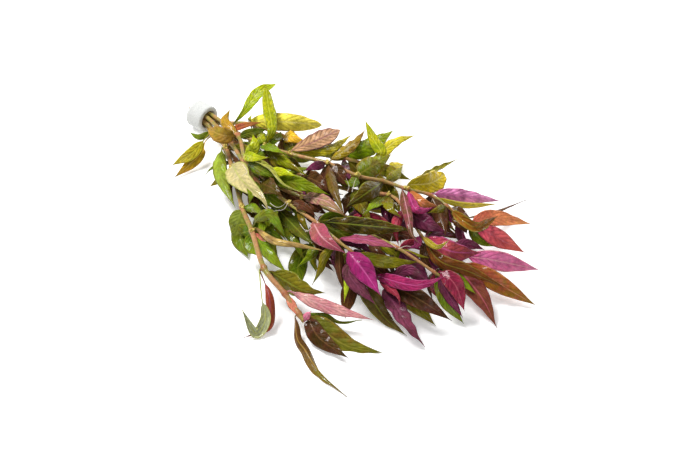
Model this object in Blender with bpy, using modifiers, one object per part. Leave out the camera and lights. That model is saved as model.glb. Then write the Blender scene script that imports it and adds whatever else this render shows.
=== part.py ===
"""A bunch of cut Alternanthera reineckii stems, held in a foam cuff and lying on its side.

Each stem is a run of joints. Leaves grow from the joints, and each one is laid on the leaves
that lie under it. The large leaves are parts of their own, and the young ones are one with
their stem. Lengths are in millimetres until a mesh is made, which is in metres.
"""

import itertools
import math
from typing import NamedTuple

import bmesh
import bpy
from mathutils import Vector
from mathutils.bvhtree import BVHTree

MM = 0.001

# The places of joints and leaves are drawn as one fixed eye sees them: a number of steps across
# and down a view that is 700 steps wide and 466 high, and a height above the surface.
VIEW_CENTRE = (350, 233)
STEPS_PER_RADIAN = 1653
EYE_DISTANCE = 1020
EYE_AZIMUTH = math.radians(40)
EYE_ELEVATION = math.radians(40)

# The top of the heap of leaves, as (across, down, height), and where its front meets the surface,
# as (across, down).
RIDGE = (
    (190, 118, 20),
    (225, 122, 26),
    (270, 140, 36),
    (320, 165, 40),
    (370, 185, 38),
    (430, 208, 32),
    (480, 228, 20),
    (530, 250, 8),
)
FOOT = (
    (170, 178),
    (190, 190),
    (225, 225),
    (245, 275),
    (262, 336),
    (300, 345),
    (340, 335),
    (380, 345),
    (420, 350),
    (465, 335),
    (500, 330),
    (540, 315),
)
BACK_REACH = 60
BACK_SHARE = 0.4

# The foam cuff lies along X, with a narrow flat where it presses on the surface.
CUFF_SPOT = (202, 116)
CUFF_RADIUS = 9
CUFF_BORE_RADIUS = 6
CUFF_LENGTH = 13
CUFF_FLAT_DEPTH = 0.35
CUFF_EDGE = 0.8
CUFF_SIDES = 28

STEM_RADIUS = 1.3
STOUT_STEM = "front_stem"
STOUT_GROWTH = 0.8
JOINT_SWELL = 1.35
STEM_TIP_RADIUS = 0.8
STEM_STUB = 2.5
STEM_SPAN = (0.15, 0.85, 1)
BUNDLE_RADIUS = 4

LEAF_THICKNESS = 0.5
LEAF_FOLD = math.radians(15)
LEAF_STATIONS = (0, 0.2, 0.45, 0.76, 1)
CURVED_STATIONS = (0, 0.17, 0.37, 0.58, 0.8, 1)
YOUNG_STATIONS = (0, 0.28, 0.64, 1)
MIDRIB_SPAN = tuple(step / 10 for step in range(1, 11))
PETIOLE_WIDTH = 1.5
YOUNG_ROOT = 0.6
TIP_WIDTH = 0.5
BASE_TAPER = 1.0
TIP_TAPER = 1.15
GAP = 0.3

# A leaf that meets another is lifted towards the eye, or away from it if it is an inner leaf,
# turned about its midrib, or moved along its stem. The cheapest change that frees it is taken.
LIFTS = tuple(0.75 * step for step in range(40))
TURNS = (0, 12, -12, 24, -24, 36, -36)
SLIDES = (0, 2.5, -2.5, 5, -5, 7.5, -7.5)
TURN_COST = 0.15
SLIDE_COST = 0.8
LIFT_START = 0.3
LIFT_ROUND_STEM = 5

SLOTS = {
    "foam": (0.93, 0.93, 0.92),
    "stem": (0.72, 0.42, 0.34),
    "lime": (0.62, 0.72, 0.08),
    "green": (0.24, 0.42, 0.05),
    "olive": (0.38, 0.40, 0.06),
    "yellow": (0.86, 0.80, 0.16),
    "ochre": (0.66, 0.48, 0.08),
    "brown": (0.30, 0.16, 0.08),
    "beige": (0.74, 0.68, 0.46),
    "pink": (0.78, 0.36, 0.46),
    "magenta": (0.62, 0.10, 0.36),
    "crimson": (0.58, 0.10, 0.18),
    "orange": (0.80, 0.38, 0.18),
    "mauve": (0.36, 0.16, 0.26),
}


class Leaf(NamedTuple):
    """A leaf: the joint that it grows from, and the points (across, down, rise) of its midrib.

    rise is the height over the top of the heap there. turn is how far the upper side is turned
    away from the eye, about the midrib, in degrees. A young leaf is one with its stem, and an
    inner leaf is a young one that is tucked under the others.
    """

    name: str
    stem: str
    joint: int
    width: float
    turn: float
    slot: str
    course: tuple
    is_young: bool
    is_inner: bool = False


def leaf(name, stem, joint, width, turn, slot, *course):
    return Leaf(name, stem, joint, width, turn, slot, course, False)


def young(name, stem, joint, width, turn, slot, *course):
    return Leaf(name, stem, joint, width, turn, slot, course, True)


def inner(name, stem, joint, width, turn, slot, *course):
    return Leaf(name, stem, joint, width, turn, slot, course, True, True)


# The share of a leaf's length that is a bare stalk, where it has one.
STALKS = {
    "ochre_left_leaf": 0.34,
    "lime_left_leaf": 0.4,
    "hanging_cup_leaf": 0.4,
    "hanging_mauve_leaf": 0.2,
    "arched_green_leaf": 0.16,
}

# Joints from the cuff to the growing tip, as (across, down, rise).
STEMS = {
    "right_stem": (
        (242, 146, -14),
        (300, 174, -16),
        (350, 190, -14),
        (388, 195, -12),
        (404, 208, -9),
        (425, 240, -8),
        (448, 253, -7),
        (462, 260, -6),
    ),
    "upper_stem": (
        (230, 129, -11),
        (266, 146, -8),
        (290, 154, -6),
        (327, 163, -2),
        (358, 176, -3),
        (383, 181, -2),
        (407, 189, 0),
        (430, 195, 0),
        (447, 206, 0),
        (462, 219, 0),
        (468, 223, 0),
    ),
    "long_stem": (
        (238, 136, -2),
        (246, 160, -2),
        (270, 182, -8),
        (303, 198, -12),
        (345, 217, -9),
        (370, 234, -9),
        (398, 248, 0),
        (434, 272, 0),
        (441, 277, 0),
    ),
    "middle_stem": (
        (231, 143, -5),
        (256, 180, -9),
        (288, 203, -4),
        (317, 223, 0),
        (338, 241, 2),
        (351, 251, 2),
        (356, 257, 1),
    ),
    "front_stem": (
        (213, 130, -15),
        (226, 148, -12),
        (232, 168, -8),
        (242, 207, -4),
        (252, 231, -1),
        (264, 268, 1),
        (285, 294, 0),
        (299, 314, 0),
        (304, 321, 1),
    ),
    "low_stem": (
        (236, 160, -20),
        (276, 207, -20),
        (318, 242, -18),
        (355, 266, -14),
        (386, 283, -11),
    ),
    "back_stem": (
        (251, 124, -15),
        (282, 136, -16),
        (318, 150, -18),
        (344, 158, -16),
        (372, 165, -14),
        (384, 168, -12),
    ),
}

# From the back and underside of the heap to its top, then the inner leaves.
LEAVES = (
    young("hidden_low_1", "low_stem", 2, 12, 0, "green", (300, 258, -22), (297, 292, -40)),
    young("hidden_low_2", "low_stem", 3, 12, 0, "brown", (350, 290, -20), (345, 318, -40)),
    young("hidden_low_3", "low_stem", 1, 12, 0, "green", (263, 220, -24), (262, 252, -40)),
    young("hidden_back_1", "back_stem", 1, 13, 0, "green", (292, 150, -26), (318, 160, -40)),
    young("hidden_back_2", "back_stem", 3, 13, 0, "olive", (362, 172, -24), (396, 188, -40)),
    young("hidden_right_1", "right_stem", 2, 12, 0, "olive", (370, 202, -26), (402, 215, -40)),
    young("hidden_right_2", "right_stem", 4, 12, 0, "brown", (428, 224, -26), (464, 240, -40)),
    young("back_6", "back_stem", 5, 5, 0, "olive", (390, 174, -14), (397, 178, -16)),
    young("back_5", "back_stem", 5, 7, 20, "yellow", (392, 167, -8), (404, 164, -10)),
    young("back_4", "back_stem", 3, 6, 20, "olive", (330, 154, -10), (314, 156, -12)),
    young("back_3", "back_stem", 1, 10, 10, "ochre", (291, 137, -4), (309, 144, -8)),
    leaf("yellow_back_leaf", "back_stem", 0, 12.5, 0, "yellow", (287, 122, 0), (322, 125, -4)),
    leaf("green_back_leaf", "back_stem", 3, 12.5, 10, "green", (364, 149, -4), (394, 130, 0)),
    young("yellow_far", "back_stem", 4, 8, 20, "yellow", (393, 143, 0), (416, 135, 2)),
    leaf(
        "lime_upright_leaf", "back_stem", 4, 8, 0, "lime",
        (381, 153, 3), (374, 140, 7), (365, 120, 14),
    ),
    young("back_2", "back_stem", 0, 4, 0, "lime", (249, 120, 1), (252, 114, 2)),
    young("back_1", "long_stem", 0, 8, 0, "ochre", (225, 122, 2), (230, 109, 6)),
    young("left_small", "front_stem", 0, 4.5, 0, "green", (200, 137, -10), (189, 132, -10)),
    young("low_1", "low_stem", 0, 3.5, 0, "green", (214, 167, -4), (204, 176, -2)),
    leaf("green_gloss_leaf", "low_stem", 1, 10, 0, "green", (300, 232, -8), (316, 247, -6)),
    young("low_2", "low_stem", 1, 6, 0, "green", (278, 225, -4), (288, 240, -4)),
    young("low_3", "low_stem", 1, 8, 0, "green", (262, 228, -8), (268, 240, -10)),
    young("low_4", "low_stem", 2, 8, 0, "green", (310, 256, -2), (296, 268, -4)),
    leaf(
        "ochre_left_leaf", "front_stem", 0, 8, 0, "ochre",
        (205, 142, -12), (200, 155, -9), (174, 178, 0),
    ),
    leaf(
        "lime_left_leaf", "front_stem", 0, 8, 0, "lime",
        (204, 141, -9), (192, 154, -7), (172, 166, -3),
    ),
    young("front_1", "front_stem", 2, 5, 0, "olive", (219, 180, -2), (209, 187, -1)),
    leaf("left_drop_leaf", "front_stem", 1, 10, 0, "green", (221, 174, -4), (236, 208, -6)),
    young("upper_1", "upper_stem", 0, 4.5, 0, "orange", (246, 125, 0), (264, 122, 0)),
    leaf("lime_arched_leaf", "upper_stem", 0, 8, 0, "lime", (244, 112, 2), (259, 92, 7), (276, 84, 8)),
    leaf(
        "lime_tall_leaf", "upper_stem", 1, 8.5, 0, "lime",
        (272, 128, 6), (268, 104, 14), (266, 88, 20),
    ),
    young("long_1", "long_stem", 0, 6, 0, "green", (250, 133, 0), (268, 129, 0)),
    young("right_1", "right_stem", 0, 6, 0, "green", (249, 150, -6), (257, 155, -6)),
    leaf("lime_under_leaf", "upper_stem", 2, 8.5, 30, "lime", (324, 150, -6), (352, 135, -5)),
    leaf("mauve_upper_leaf", "upper_stem", 2, 12, 15, "mauve", (312, 143, 0), (340, 130, 4)),
    leaf("olive_pointed_leaf", "upper_stem", 3, 8.5, 20, "olive", (350, 146, 2), (366, 129, 5)),
    leaf("olive_broad_leaf", "upper_stem", 4, 15, 0, "olive", (369, 168, 0), (392, 154, 2)),
    young("upper_5", "upper_stem", 3, 6, 0, "mauve", (313, 167, 1), (304, 171, -1)),
    young("left_low", "front_stem", 4, 13, 10, "green", (253, 242, -3), (261, 256, -5)),
    young("left_wet", "front_stem", 3, 12, 180, "green", (238, 222, 0), (233, 240, 0)),
    leaf("olive_hook_leaf", "upper_stem", 1, 8, 0, "olive", (284, 162, -2), (308, 176, -4)),
    leaf("green_shine_leaf", "long_stem", 2, 10, 0, "green", (300, 184, 2), (330, 195, 2)),
    young("upper_3", "upper_stem", 1, 8, 10, "green", (276, 150, 2), (288, 155, 1)),
    young("long_2", "long_stem", 1, 8, 0, "green", (262, 171, 2), (283, 178, 1)),
    leaf("pale_rolled_leaf", "long_stem", 1, 6, 20, "lime", (268, 168, 3), (282, 184, 4), (303, 193, 3)),
    young("long_3", "long_stem", 1, 7, 0, "lime", (256, 158, 3), (270, 158, 3)),
    young("long_4", "long_stem", 2, 7, 0, "lime", (281, 172, 3), (298, 177, 3)),
    young("long_7", "long_stem", 1, 8, 0, "lime", (254, 147, 4), (253, 134, 8)),
    leaf("pale_pink_leaf", "long_stem", 3, 8, 0, "pink", (326, 201, 2), (346, 216, 2)),
    young("tan_folded", "long_stem", 0, 11, 0, "ochre", (222, 135, 6), (206, 128, 5)),
    young("middle_1", "middle_stem", 1, 9, 0, "green", (252, 192, 2), (249, 205, 1)),
    leaf("beige_leaf", "front_stem", 2, 16, 180, "beige", (243, 181, 0), (262, 197, -4), (271, 216, -8)),
    leaf("brown_olive_leaf", "middle_stem", 1, 11, 0, "brown", (272, 188, 3), (284, 198, 2)),
    young("front_2", "front_stem", 3, 7, 0, "green", (254, 208, 1), (266, 217, -1)),
    leaf(
        "arched_green_leaf", "front_stem", 4, 8, 0, "green",
        (258, 219, 6), (271, 216, 6), (286, 238, 2),
    ),
    young("front_3", "front_stem", 4, 6, 0, "orange", (263, 242, -4), (275, 255, -6)),
    young("front_4", "front_stem", 4, 9, 0, "green", (270, 255, -3), (287, 273, -5)),
    leaf(
        "branch_olive_leaf", "front_stem", 4, 6, 0, "brown",
        (272, 240, 3), (300, 245, 3), (330, 252, 2),
    ),
    young("middle_2", "middle_stem", 2, 6, 0, "brown", (303, 206, 2), (318, 218, -2)),
    leaf("green_drape_leaf", "upper_stem", 5, 13, 0, "green", (368, 192, 3), (345, 208, 1)),
    young("upper_4", "upper_stem", 4, 7, 0, "green", (352, 184, 1), (344, 180, 0)),
    leaf("slim_olive_leaf", "upper_stem", 3, 8.5, 0, "brown", (333, 187, 4), (345, 217, 2)),
    young("right_2", "right_stem", 3, 8, 0, "green", (372, 206, 0), (362, 217, -2)),
    young("right_3", "right_stem", 3, 8, 0, "olive", (389, 207, -2), (402, 218, -4)),
    leaf("dark_long_leaf", "middle_stem", 3, 11, 10, "green", (370, 226, 0), (414, 230, -1)),
    young(
        "drop_olive", "middle_stem", 4, 6.5, 20, "olive",
        (326, 256, 2), (321, 270, 0), (312, 285, -2),
    ),
    young("brown_drop", "middle_stem", 4, 7.5, 0, "brown", (340, 272, 2), (345, 295, 0)),
    leaf("pink_heart_leaf", "middle_stem", 3, 12.5, 0, "pink", (324, 239, 3), (347, 254, 3)),
    young("dark_olive", "long_stem", 5, 8, 0, "olive", (390, 249, -4), (430, 258, -5)),
    young("middle_4", "middle_stem", 5, 8, 0, "olive", (385, 262, -2), (420, 262, -3)),
    young("middle_3", "middle_stem", 5, 5, 0, "lime", (347, 284, 1), (344, 303, 0)),
    leaf("mauve_dark_leaf", "middle_stem", 6, 9, 0, "mauve", (350, 276, 3), (376, 305, 0)),
    leaf("magenta_slim_leaf", "middle_stem", 4, 8, 50, "magenta", (368, 240, 3), (398, 248, 2)),
    leaf("magenta_leaf", "middle_stem", 5, 14, 0, "magenta", (364, 271, 2), (381, 296, 3)),
    leaf(
        "hanging_mauve_leaf", "front_stem", 5, 8, 0, "mauve",
        (268, 292, 3), (270, 310, 2), (267, 328, 0.5), (243, 338, 0.6),
    ),
    leaf(
        "hanging_cup_leaf", "front_stem", 5, 7.5, 180, "lime",
        (262, 298, 4), (266, 318, 1), (256, 333, 0.6), (242, 309, 14),
    ),
    young("brown_under", "front_stem", 5, 9, 0, "brown", (285, 285, -3), (303, 300, -4)),
    leaf("bitten_leaf", "front_stem", 5, 14, 0, "green", (302, 290, 1), (325, 293, 0)),
    young("front_5", "front_stem", 6, 5, 0, "orange", (291, 303, 1), (300, 318, 1)),
    young("dark_thin", "front_stem", 7, 6, 60, "green", (325, 313, 0), (340, 321, 0), (362, 320, 0)),
    leaf("pink_front_leaf", "front_stem", 6, 8, 15, "pink", (326, 306, 2), (374, 320, 3)),
    leaf("olive_front_leaf", "front_stem", 7, 15, 0, "olive", (345, 345, 2), (384, 353, 1)),
    leaf("brown_front_leaf", "front_stem", 8, 11, 0, "brown", (320, 338, 3), (349, 358, 2)),
    leaf(
        "twisted_leaf", "front_stem", 7, 9, 0, "ochre",
        (297, 338, 4), (305, 350, 3), (319, 371, 2), (347, 397, 0.5),
    ),
    young("front_6", "front_stem", 8, 5, 0, "pink", (307, 316, 3), (311, 311, 5)),
    leaf(
        "green_edged_leaf", "low_stem", 3, 11, 0, "green",
        (369, 294, -5), (385, 318, -6), (407, 336, -3),
    ),
    leaf("brown_spread_leaf", "low_stem", 4, 12, 0, "brown", (420, 300, 2), (452, 321, 2)),
    leaf("purple_leaf", "low_stem", 4, 13, 0, "mauve", (403, 318, 2), (425, 347, 2)),
    young("low_5", "low_stem", 4, 7, 0, "mauve", (408, 270, -1), (428, 281, -1)),
    young("low_6", "low_stem", 4, 5, 0, "crimson", (397, 295, 1), (400, 308, 1)),
    leaf("magenta_low_leaf", "low_stem", 4, 8, 0, "magenta", (415, 285, 4), (446, 276, 2)),
    young("green_tip", "long_stem", 7, 9, 0, "green", (446, 300, -2), (464, 324, -1)),
    young("long_5", "long_stem", 7, 7, 0, "mauve", (450, 297, 0), (463, 318, 0)),
    young("long_6", "long_stem", 7, 7, 0, "green", (458, 279, 0), (476, 294, 0)),
    leaf("crimson_low_leaf", "long_stem", 7, 11, 0, "crimson", (455, 285, 2), (464, 311, 0)),
    leaf("red_brown_leaf", "right_stem", 6, 13, 0, "crimson", (480, 295, 0), (497, 328, 0.5)),
    leaf("olive_long_leaf", "right_stem", 5, 9, 0, "olive", (440, 261, 1), (470, 272, 2), (508, 289, 1)),
    leaf("maroon_leaf", "right_stem", 7, 12, 0, "orange", (496, 282, 1), (537, 306, 0.5)),
    young("right_6", "right_stem", 6, 7, 0, "mauve", (466, 244, -3), (485, 250, -3)),
    leaf("pink_long_leaf", "right_stem", 7, 12, 0, "pink", (493, 260, 1), (540, 270, 1)),
    young("right_5", "right_stem", 5, 5, 0, "magenta", (416, 246, 0), (406, 247, 0)),
    leaf("magenta_broad_leaf", "right_stem", 5, 13, 0, "magenta", (450, 251, 2), (481, 253, 0)),
    young("right_4", "right_stem", 5, 4, 0, "yellow", (436, 247, 2), (450, 239, 2)),
    young("upper_6", "upper_stem", 5, 7, 0, "olive", (394, 176, 0), (403, 166, 0)),
    leaf("rolled_olive_leaf", "upper_stem", 6, 8, 60, "olive", (431, 175, 3), (457, 159, 4)),
    leaf(
        "olive_yellow_leaf", "upper_stem", 6, 13.5, 0, "yellow",
        (427, 184, 2), (437, 180, 2), (444, 174, 2),
    ),
    young("upper_12", "upper_stem", 6, 7.5, 0, "magenta", (414, 207, 3), (423, 211, 2), (434, 207, 0)),
    young("upper_7", "upper_stem", 6, 7, 0, "orange", (421, 202, 1), (440, 207, -1)),
    leaf(
        "hanging_pink_leaf", "upper_stem", 6, 7.5, 0, "pink",
        (408, 215, 3), (412, 235, 2), (423, 246, 0),
    ),
    young("upper_8", "upper_stem", 7, 4, 0, "yellow", (462, 205, -2), (499, 204, -4)),
    leaf("pink_upper_leaf", "upper_stem", 7, 10, 10, "magenta", (465, 196, 0), (501, 201, -2)),
    young("upper_9", "upper_stem", 8, 5, 0, "olive", (438, 210, 1), (428, 213, 0)),
    young("brown_droop", "upper_stem", 8, 11, 0, "brown", (458, 214, 1), (467, 234, 0)),
    young("upper_11", "upper_stem", 10, 8, 0, "green", (478, 237, -4), (497, 247, -6)),
    leaf("orange_leaf", "upper_stem", 10, 10.5, 10, "orange", (495, 218, 0), (532, 224, 0)),
    leaf("crimson_leaf", "upper_stem", 9, 11, 0, "crimson", (501, 240, 0), (525, 253, 0)),
    young("upper_10", "upper_stem", 9, 4.5, 60, "brown", (495, 211, -1), (526, 200, 0)),
    leaf("olive_cup_leaf", "upper_stem", 8, 8, 0, "olive", (463, 221, 5), (477, 227, 5), (497, 216, 4)),
    inner("inner_1", "middle_stem", 1, 12, 0, "green", (268, 195, -6), (292, 212, -8)),
    inner("inner_2", "long_stem", 2, 12, 0, "brown", (292, 196, -6), (318, 212, -8)),
    inner("inner_3", "right_stem", 1, 11, 0, "brown", (318, 182, -4), (340, 196, -6)),
    inner("inner_4", "right_stem", 2, 11, 0, "olive", (362, 206, -4), (372, 226, -6)),
    inner("inner_5", "long_stem", 4, 12, 0, "crimson", (372, 222, -8), (402, 236, -8)),
    inner("inner_6", "upper_stem", 5, 10, 0, "olive", (392, 196, -3), (402, 214, -5)),
    inner("inner_7", "upper_stem", 7, 11, 0, "brown", (440, 214, -4), (446, 236, -6)),
    inner("inner_8", "right_stem", 4, 12, 0, "mauve", (424, 222, -3), (446, 232, -4)),
    inner("inner_9", "long_stem", 6, 12, 0, "mauve", (414, 268, -4), (432, 288, -6)),
    inner("inner_10", "middle_stem", 6, 12, 0, "brown", (380, 272, -4), (404, 292, -6)),
    inner("inner_11", "low_stem", 3, 12, 0, "brown", (366, 284, -4), (384, 304, -6)),
    inner("inner_12", "low_stem", 4, 12, 0, "olive", (410, 300, -6), (436, 326, -6)),
    inner("inner_13", "upper_stem", 9, 10, 0, "mauve", (482, 232, -6), (506, 240, -8)),
    inner("inner_14", "middle_stem", 3, 12, 0, "green", (338, 232, -6), (362, 246, -8)),
    inner("inner_15", "upper_stem", 4, 11, 0, "olive", (372, 190, -4), (392, 202, -6)),
    inner("inner_16", "right_stem", 0, 11, 0, "green", (250, 168, -10), (260, 192, -12)),
    inner("inner_17", "back_stem", 2, 10, 0, "olive", (338, 152, -2), (362, 150, -4)),
    inner("inner_18", "back_stem", 4, 9, 0, "olive", (392, 172, -2), (412, 180, -6)),
    inner("inner_19", "front_stem", 4, 12, 0, "green", (240, 236, -4), (248, 258, -6)),
    inner("inner_20", "low_stem", 1, 10, 0, "green", (290, 232, -8), (305, 262, -10)),
)


def forward():
    """The direction from the eye to the middle of the view."""
    level = math.cos(EYE_ELEVATION)
    return -Vector(
        (
            math.sin(EYE_AZIMUTH) * level,
            -math.cos(EYE_AZIMUTH) * level,
            math.sin(EYE_ELEVATION),
        )
    )


SIGHT = forward()
ACROSS = Vector((math.cos(EYE_AZIMUTH), math.sin(EYE_AZIMUTH), 0))
DOWN = SIGHT.cross(ACROSS)
EYE = -SIGHT * EYE_DISTANCE


def seen(across, down, height):
    """The point at this height that the eye sees there."""
    ray = (
        SIGHT
        + ACROSS * ((across - VIEW_CENTRE[0]) / STEPS_PER_RADIAN)
        + DOWN * ((down - VIEW_CENTRE[1]) / STEPS_PER_RADIAN)
    )
    return EYE + ray * ((height - EYE.z) / ray.z)


def between(rows, across):
    """The values of the rows, read between the two nearest in across."""
    if across <= rows[0][0]:
        return rows[0][1:]
    for low, high in zip(rows, rows[1:]):
        if across <= high[0]:
            share = (across - low[0]) / (high[0] - low[0])
            return tuple(a + (b - a) * share for a, b in zip(low[1:], high[1:]))
    return rows[-1][1:]


def heap_height(across, down):
    """How high the heap of leaves stands where the eye sees this spot on it."""
    ridge_down, ridge_height = between(RIDGE, across)
    (foot_down,) = between(FOOT, across)
    if down < ridge_down:
        share = min(1, (ridge_down - down) / BACK_REACH)
        return ridge_height * (1 - (1 - BACK_SHARE) * share)
    share = min(1, (down - ridge_down) / (foot_down - ridge_down))
    return ridge_height * math.cos(share * math.pi / 2)


def drawn(across, down, rise):
    return seen(across, down, max(LEAF_THICKNESS, heap_height(across, down) + rise))


def smooth(points, span):
    """A smooth line through the points, with points at these shares of each span."""
    ends = [2 * points[0] - points[1], *points, 2 * points[-1] - points[-2]]
    line = [points[0].copy()]
    for a, b, c, d in zip(ends, ends[1:], ends[2:], ends[3:]):
        for t in span:
            line.append(
                0.5
                * (
                    2 * b
                    + (c - a) * t
                    + (2 * a - 5 * b + 4 * c - d) * t**2
                    + (3 * b - a - 3 * c + d) * t**3
                )
            )
    return line


def stations_on(line, shares):
    """Points and directions at these shares of the line's length."""
    lengths = [0.0]
    for a, b in zip(line, line[1:]):
        lengths.append(lengths[-1] + (b - a).length)
    found = []
    for share in shares:
        target = share * lengths[-1]
        i = next(i for i, length in enumerate(lengths[1:]) if length >= target - 1e-6)
        step = lengths[i + 1] - lengths[i]
        t = (target - lengths[i]) / step
        found.append(line[i].lerp(line[i + 1], t))
    directions = []
    for i in range(len(found)):
        before = found[max(0, i - 1)]
        after = found[min(len(found) - 1, i + 1)]
        directions.append((after - before).normalized())
    return found, directions


def cuff_centre():
    """The middle of the cuff, which stands on its flat."""
    return seen(*CUFF_SPOT, CUFF_RADIUS - CUFF_FLAT_DEPTH)


def bundle_place(number):
    """Where a stem passes through the cuff: one in the middle, and the others round it."""
    if number == 0:
        return Vector((0, 0, 0))
    angle = math.tau * (number - 1) / (len(STEMS) - 1)
    return Vector((0, math.cos(angle), math.sin(angle))) * BUNDLE_RADIUS


def stem_course(name):
    """The points of a stem's axis: its cut end, the cuff's mouth, then its joints."""
    place = cuff_centre() + bundle_place(list(STEMS).index(name))
    half = Vector((CUFF_LENGTH / 2, 0, 0))
    stub = Vector((STEM_STUB, 0, 0))
    return [place - half - stub, place + half, *(drawn(*joint) for joint in STEMS[name])]


def stem_direction(name, joint):
    course = stem_course(name)
    at = joint + 2
    return (course[min(at + 1, len(course) - 1)] - course[at - 1]).normalized()


def stem_girth(name, share):
    """A stem's radius at this share of the way to its tip. One stem grows stouter towards it."""
    radius = STEM_RADIUS + (STEM_TIP_RADIUS - STEM_RADIUS) * share**3
    return radius * (1 + STOUT_GROWTH * share**2 if name == STOUT_STEM else 1)


def midrib(one, lift, slide):
    """A leaf's midrib, from near its stem's skin, or from inside the stem if it is young."""
    stem = stem_course(one.stem)
    root = stem[one.joint + 2]
    along = stem_direction(one.stem, one.joint)
    course = [drawn(*point) for point in one.course]
    way_out = course[0] - root
    way_out = (way_out - along * way_out.dot(along)).normalized()
    way_out -= SIGHT * max(-1, min(1, lift / LIFT_ROUND_STEM))
    way_out = (way_out - along * way_out.dot(along)).normalized()
    girth = max(STEM_RADIUS, stem_girth(one.stem, (one.joint + 2) / (len(stem) - 1)))
    reach = girth * JOINT_SWELL + 2 * GAP + LEAF_THICKNESS / 2
    root = root + along * slide + way_out * (-YOUNG_ROOT if one.is_young else reach)
    line = smooth([root, *course], MIDRIB_SPAN)
    count = len(line) - 1
    for i, point in enumerate(line):
        point -= SIGHT * lift * min(1, i / count / LIFT_START)
    return line


def half_width(share, width, stalk):
    """A spearhead outline with a drawn-out base and tip, beyond this share that is stalk."""
    widest = BASE_TAPER / (BASE_TAPER + TIP_TAPER)
    full = widest**BASE_TAPER * (1 - widest) ** TIP_TAPER
    on_blade = max(0, share - stalk) / (1 - stalk)
    spear = on_blade**BASE_TAPER * (1 - on_blade) ** TIP_TAPER / full
    least = PETIOLE_WIDTH + (TIP_WIDTH - PETIOLE_WIDTH) * share
    return max(width * spear, least) / 2


def blade(one, lift=0, turn=0, slide=0):
    """The rows of a leaf's middle surface, each of its left edge, midrib and right edge."""
    stations = CURVED_STATIONS if len(one.course) > 2 else LEAF_STATIONS
    if one.is_young and len(one.course) < 4:
        stations = YOUNG_STATIONS
    centres, directions = stations_on(midrib(one, lift, slide), stations)
    angle = math.radians(one.turn + turn)
    rows = []
    for share, centre, along in zip(stations, centres, directions):
        side = along.cross(SIGHT).normalized()
        face = side.cross(along)
        side, face = (
            side * math.cos(angle) + face * math.sin(angle),
            face * math.cos(angle) - side * math.sin(angle),
        )
        reach = half_width(share, one.width, STALKS.get(one.name, 0))
        out = side * (reach * math.cos(LEAF_FOLD))
        up = face * (reach * math.sin(LEAF_FOLD))
        row = (centre - out + up, centre, centre + out + up)
        for point in row:
            point.z = max(point.z, LEAF_THICKNESS)
        rows.append(row)
    return rows


def slab(rows, thickness):
    """The points and faces of a closed sheet of this thickness round the rows."""
    columns = len(rows[0])
    size = len(rows) * columns
    points = []
    for side in (-0.5, 0.5):
        for i, row in enumerate(rows):
            before, after = rows[max(0, i - 1)], rows[min(len(rows) - 1, i + 1)]
            for j, point in enumerate(row):
                across = row[min(columns - 1, j + 1)] - row[max(0, j - 1)]
                normal = across.cross(after[j] - before[j]).normalized()
                points.append(point + normal * (side * thickness))
    rim = [(i, i + 1) for i in range(columns - 1)]
    rim += [(i * columns + columns - 1, (i + 2) * columns - 1) for i in range(len(rows) - 1)]
    rim += [(size - 1 - i, size - 2 - i) for i in range(columns - 1)]
    rim += [((i + 1) * columns, i * columns) for i in range(len(rows) - 1)]
    faces = [(b, a, a + size, b + size) for a, b in rim]
    for i, j in itertools.product(range(len(rows) - 1), range(columns - 1)):
        a = i * columns + j
        corners = (a, a + 1, a + columns + 1, a + columns)
        faces.append(corners)
        faces.append(tuple(corner + size for corner in reversed(corners)))
    return points, faces


def stem_line(name):
    """The points of a stem's axis, straight in the cuff, with the stem's radius at each."""
    course = stem_course(name)
    line = smooth(course, STEM_SPAN)
    steps = len(STEM_SPAN)
    rings = []
    for i, point in enumerate(line):
        share = i / (len(line) - 1)
        radius = stem_girth(name, share)
        is_joint = i % steps == 0 and steps < i < len(line) - 1
        if i == 0 or i >= steps:
            rings.append((point, radius * JOINT_SWELL if is_joint else radius))
    return rings


def tube(rings, clearance):
    """The points and faces of a plain tube round a stem."""
    sides = 6
    points, faces = [], []
    for i, (point, radius) in enumerate(rings):
        before, after = rings[max(0, i - 1)][0], rings[min(len(rings) - 1, i + 1)][0]
        along = (after - before).normalized()
        out = along.orthogonal().normalized() if i == 0 else (out - along * out.dot(along)).normalized()
        other = along.cross(out)
        for j in range(sides):
            angle = math.tau * j / sides
            reach = out * math.cos(angle) + other * math.sin(angle)
            points.append(point + reach * (radius + clearance))
            if i:
                a, b = (i - 1) * sides + j, (i - 1) * sides + (j + 1) % sides
                faces.append((a, b, b + sides, a + sides))
    return points, faces


def settled():
    """Every leaf's blade, laid on the stems, the cuff and the leaves before it."""
    centre = cuff_centre()
    ends = [(centre + Vector((side * CUFF_LENGTH / 2, 0, 0)), CUFF_RADIUS) for side in (-1, 1)]
    placed = [("cuff", BVHTree.FromPolygons(*tube(ends, 0)))]
    for name in STEMS:
        placed.append((name, BVHTree.FromPolygons(*tube(stem_line(name), 0))))
    changes = sorted(
        itertools.product(LIFTS, TURNS, SLIDES),
        key=lambda change: (
            change[0] + abs(change[1]) * TURN_COST + abs(change[2]) * SLIDE_COST,
            change,
        ),
    )
    blades = {}
    for one in LEAVES:
        owner = one.stem if one.is_young else one.name
        for lift, turn, slide in changes:
            rows = blade(one, -lift if one.is_inner else lift, turn, slide)
            room = BVHTree.FromPolygons(*slab(rows, LEAF_THICKNESS + 2 * GAP))
            if not any(tree.overlap(room) for other, tree in placed if other != owner):
                break
        else:
            raise ValueError(f"{one.name} finds no free place")
        blades[one.name] = rows
        placed.append((owner, BVHTree.FromPolygons(*slab(rows, LEAF_THICKNESS))))
    return blades


def mesh_object(name, points, faces, collection):
    mesh = bpy.data.meshes.new(name)
    mesh.from_pydata([point * MM for point in points], [], faces)
    thing = bpy.data.objects.new(name, mesh)
    collection.objects.link(thing)
    return thing


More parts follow.
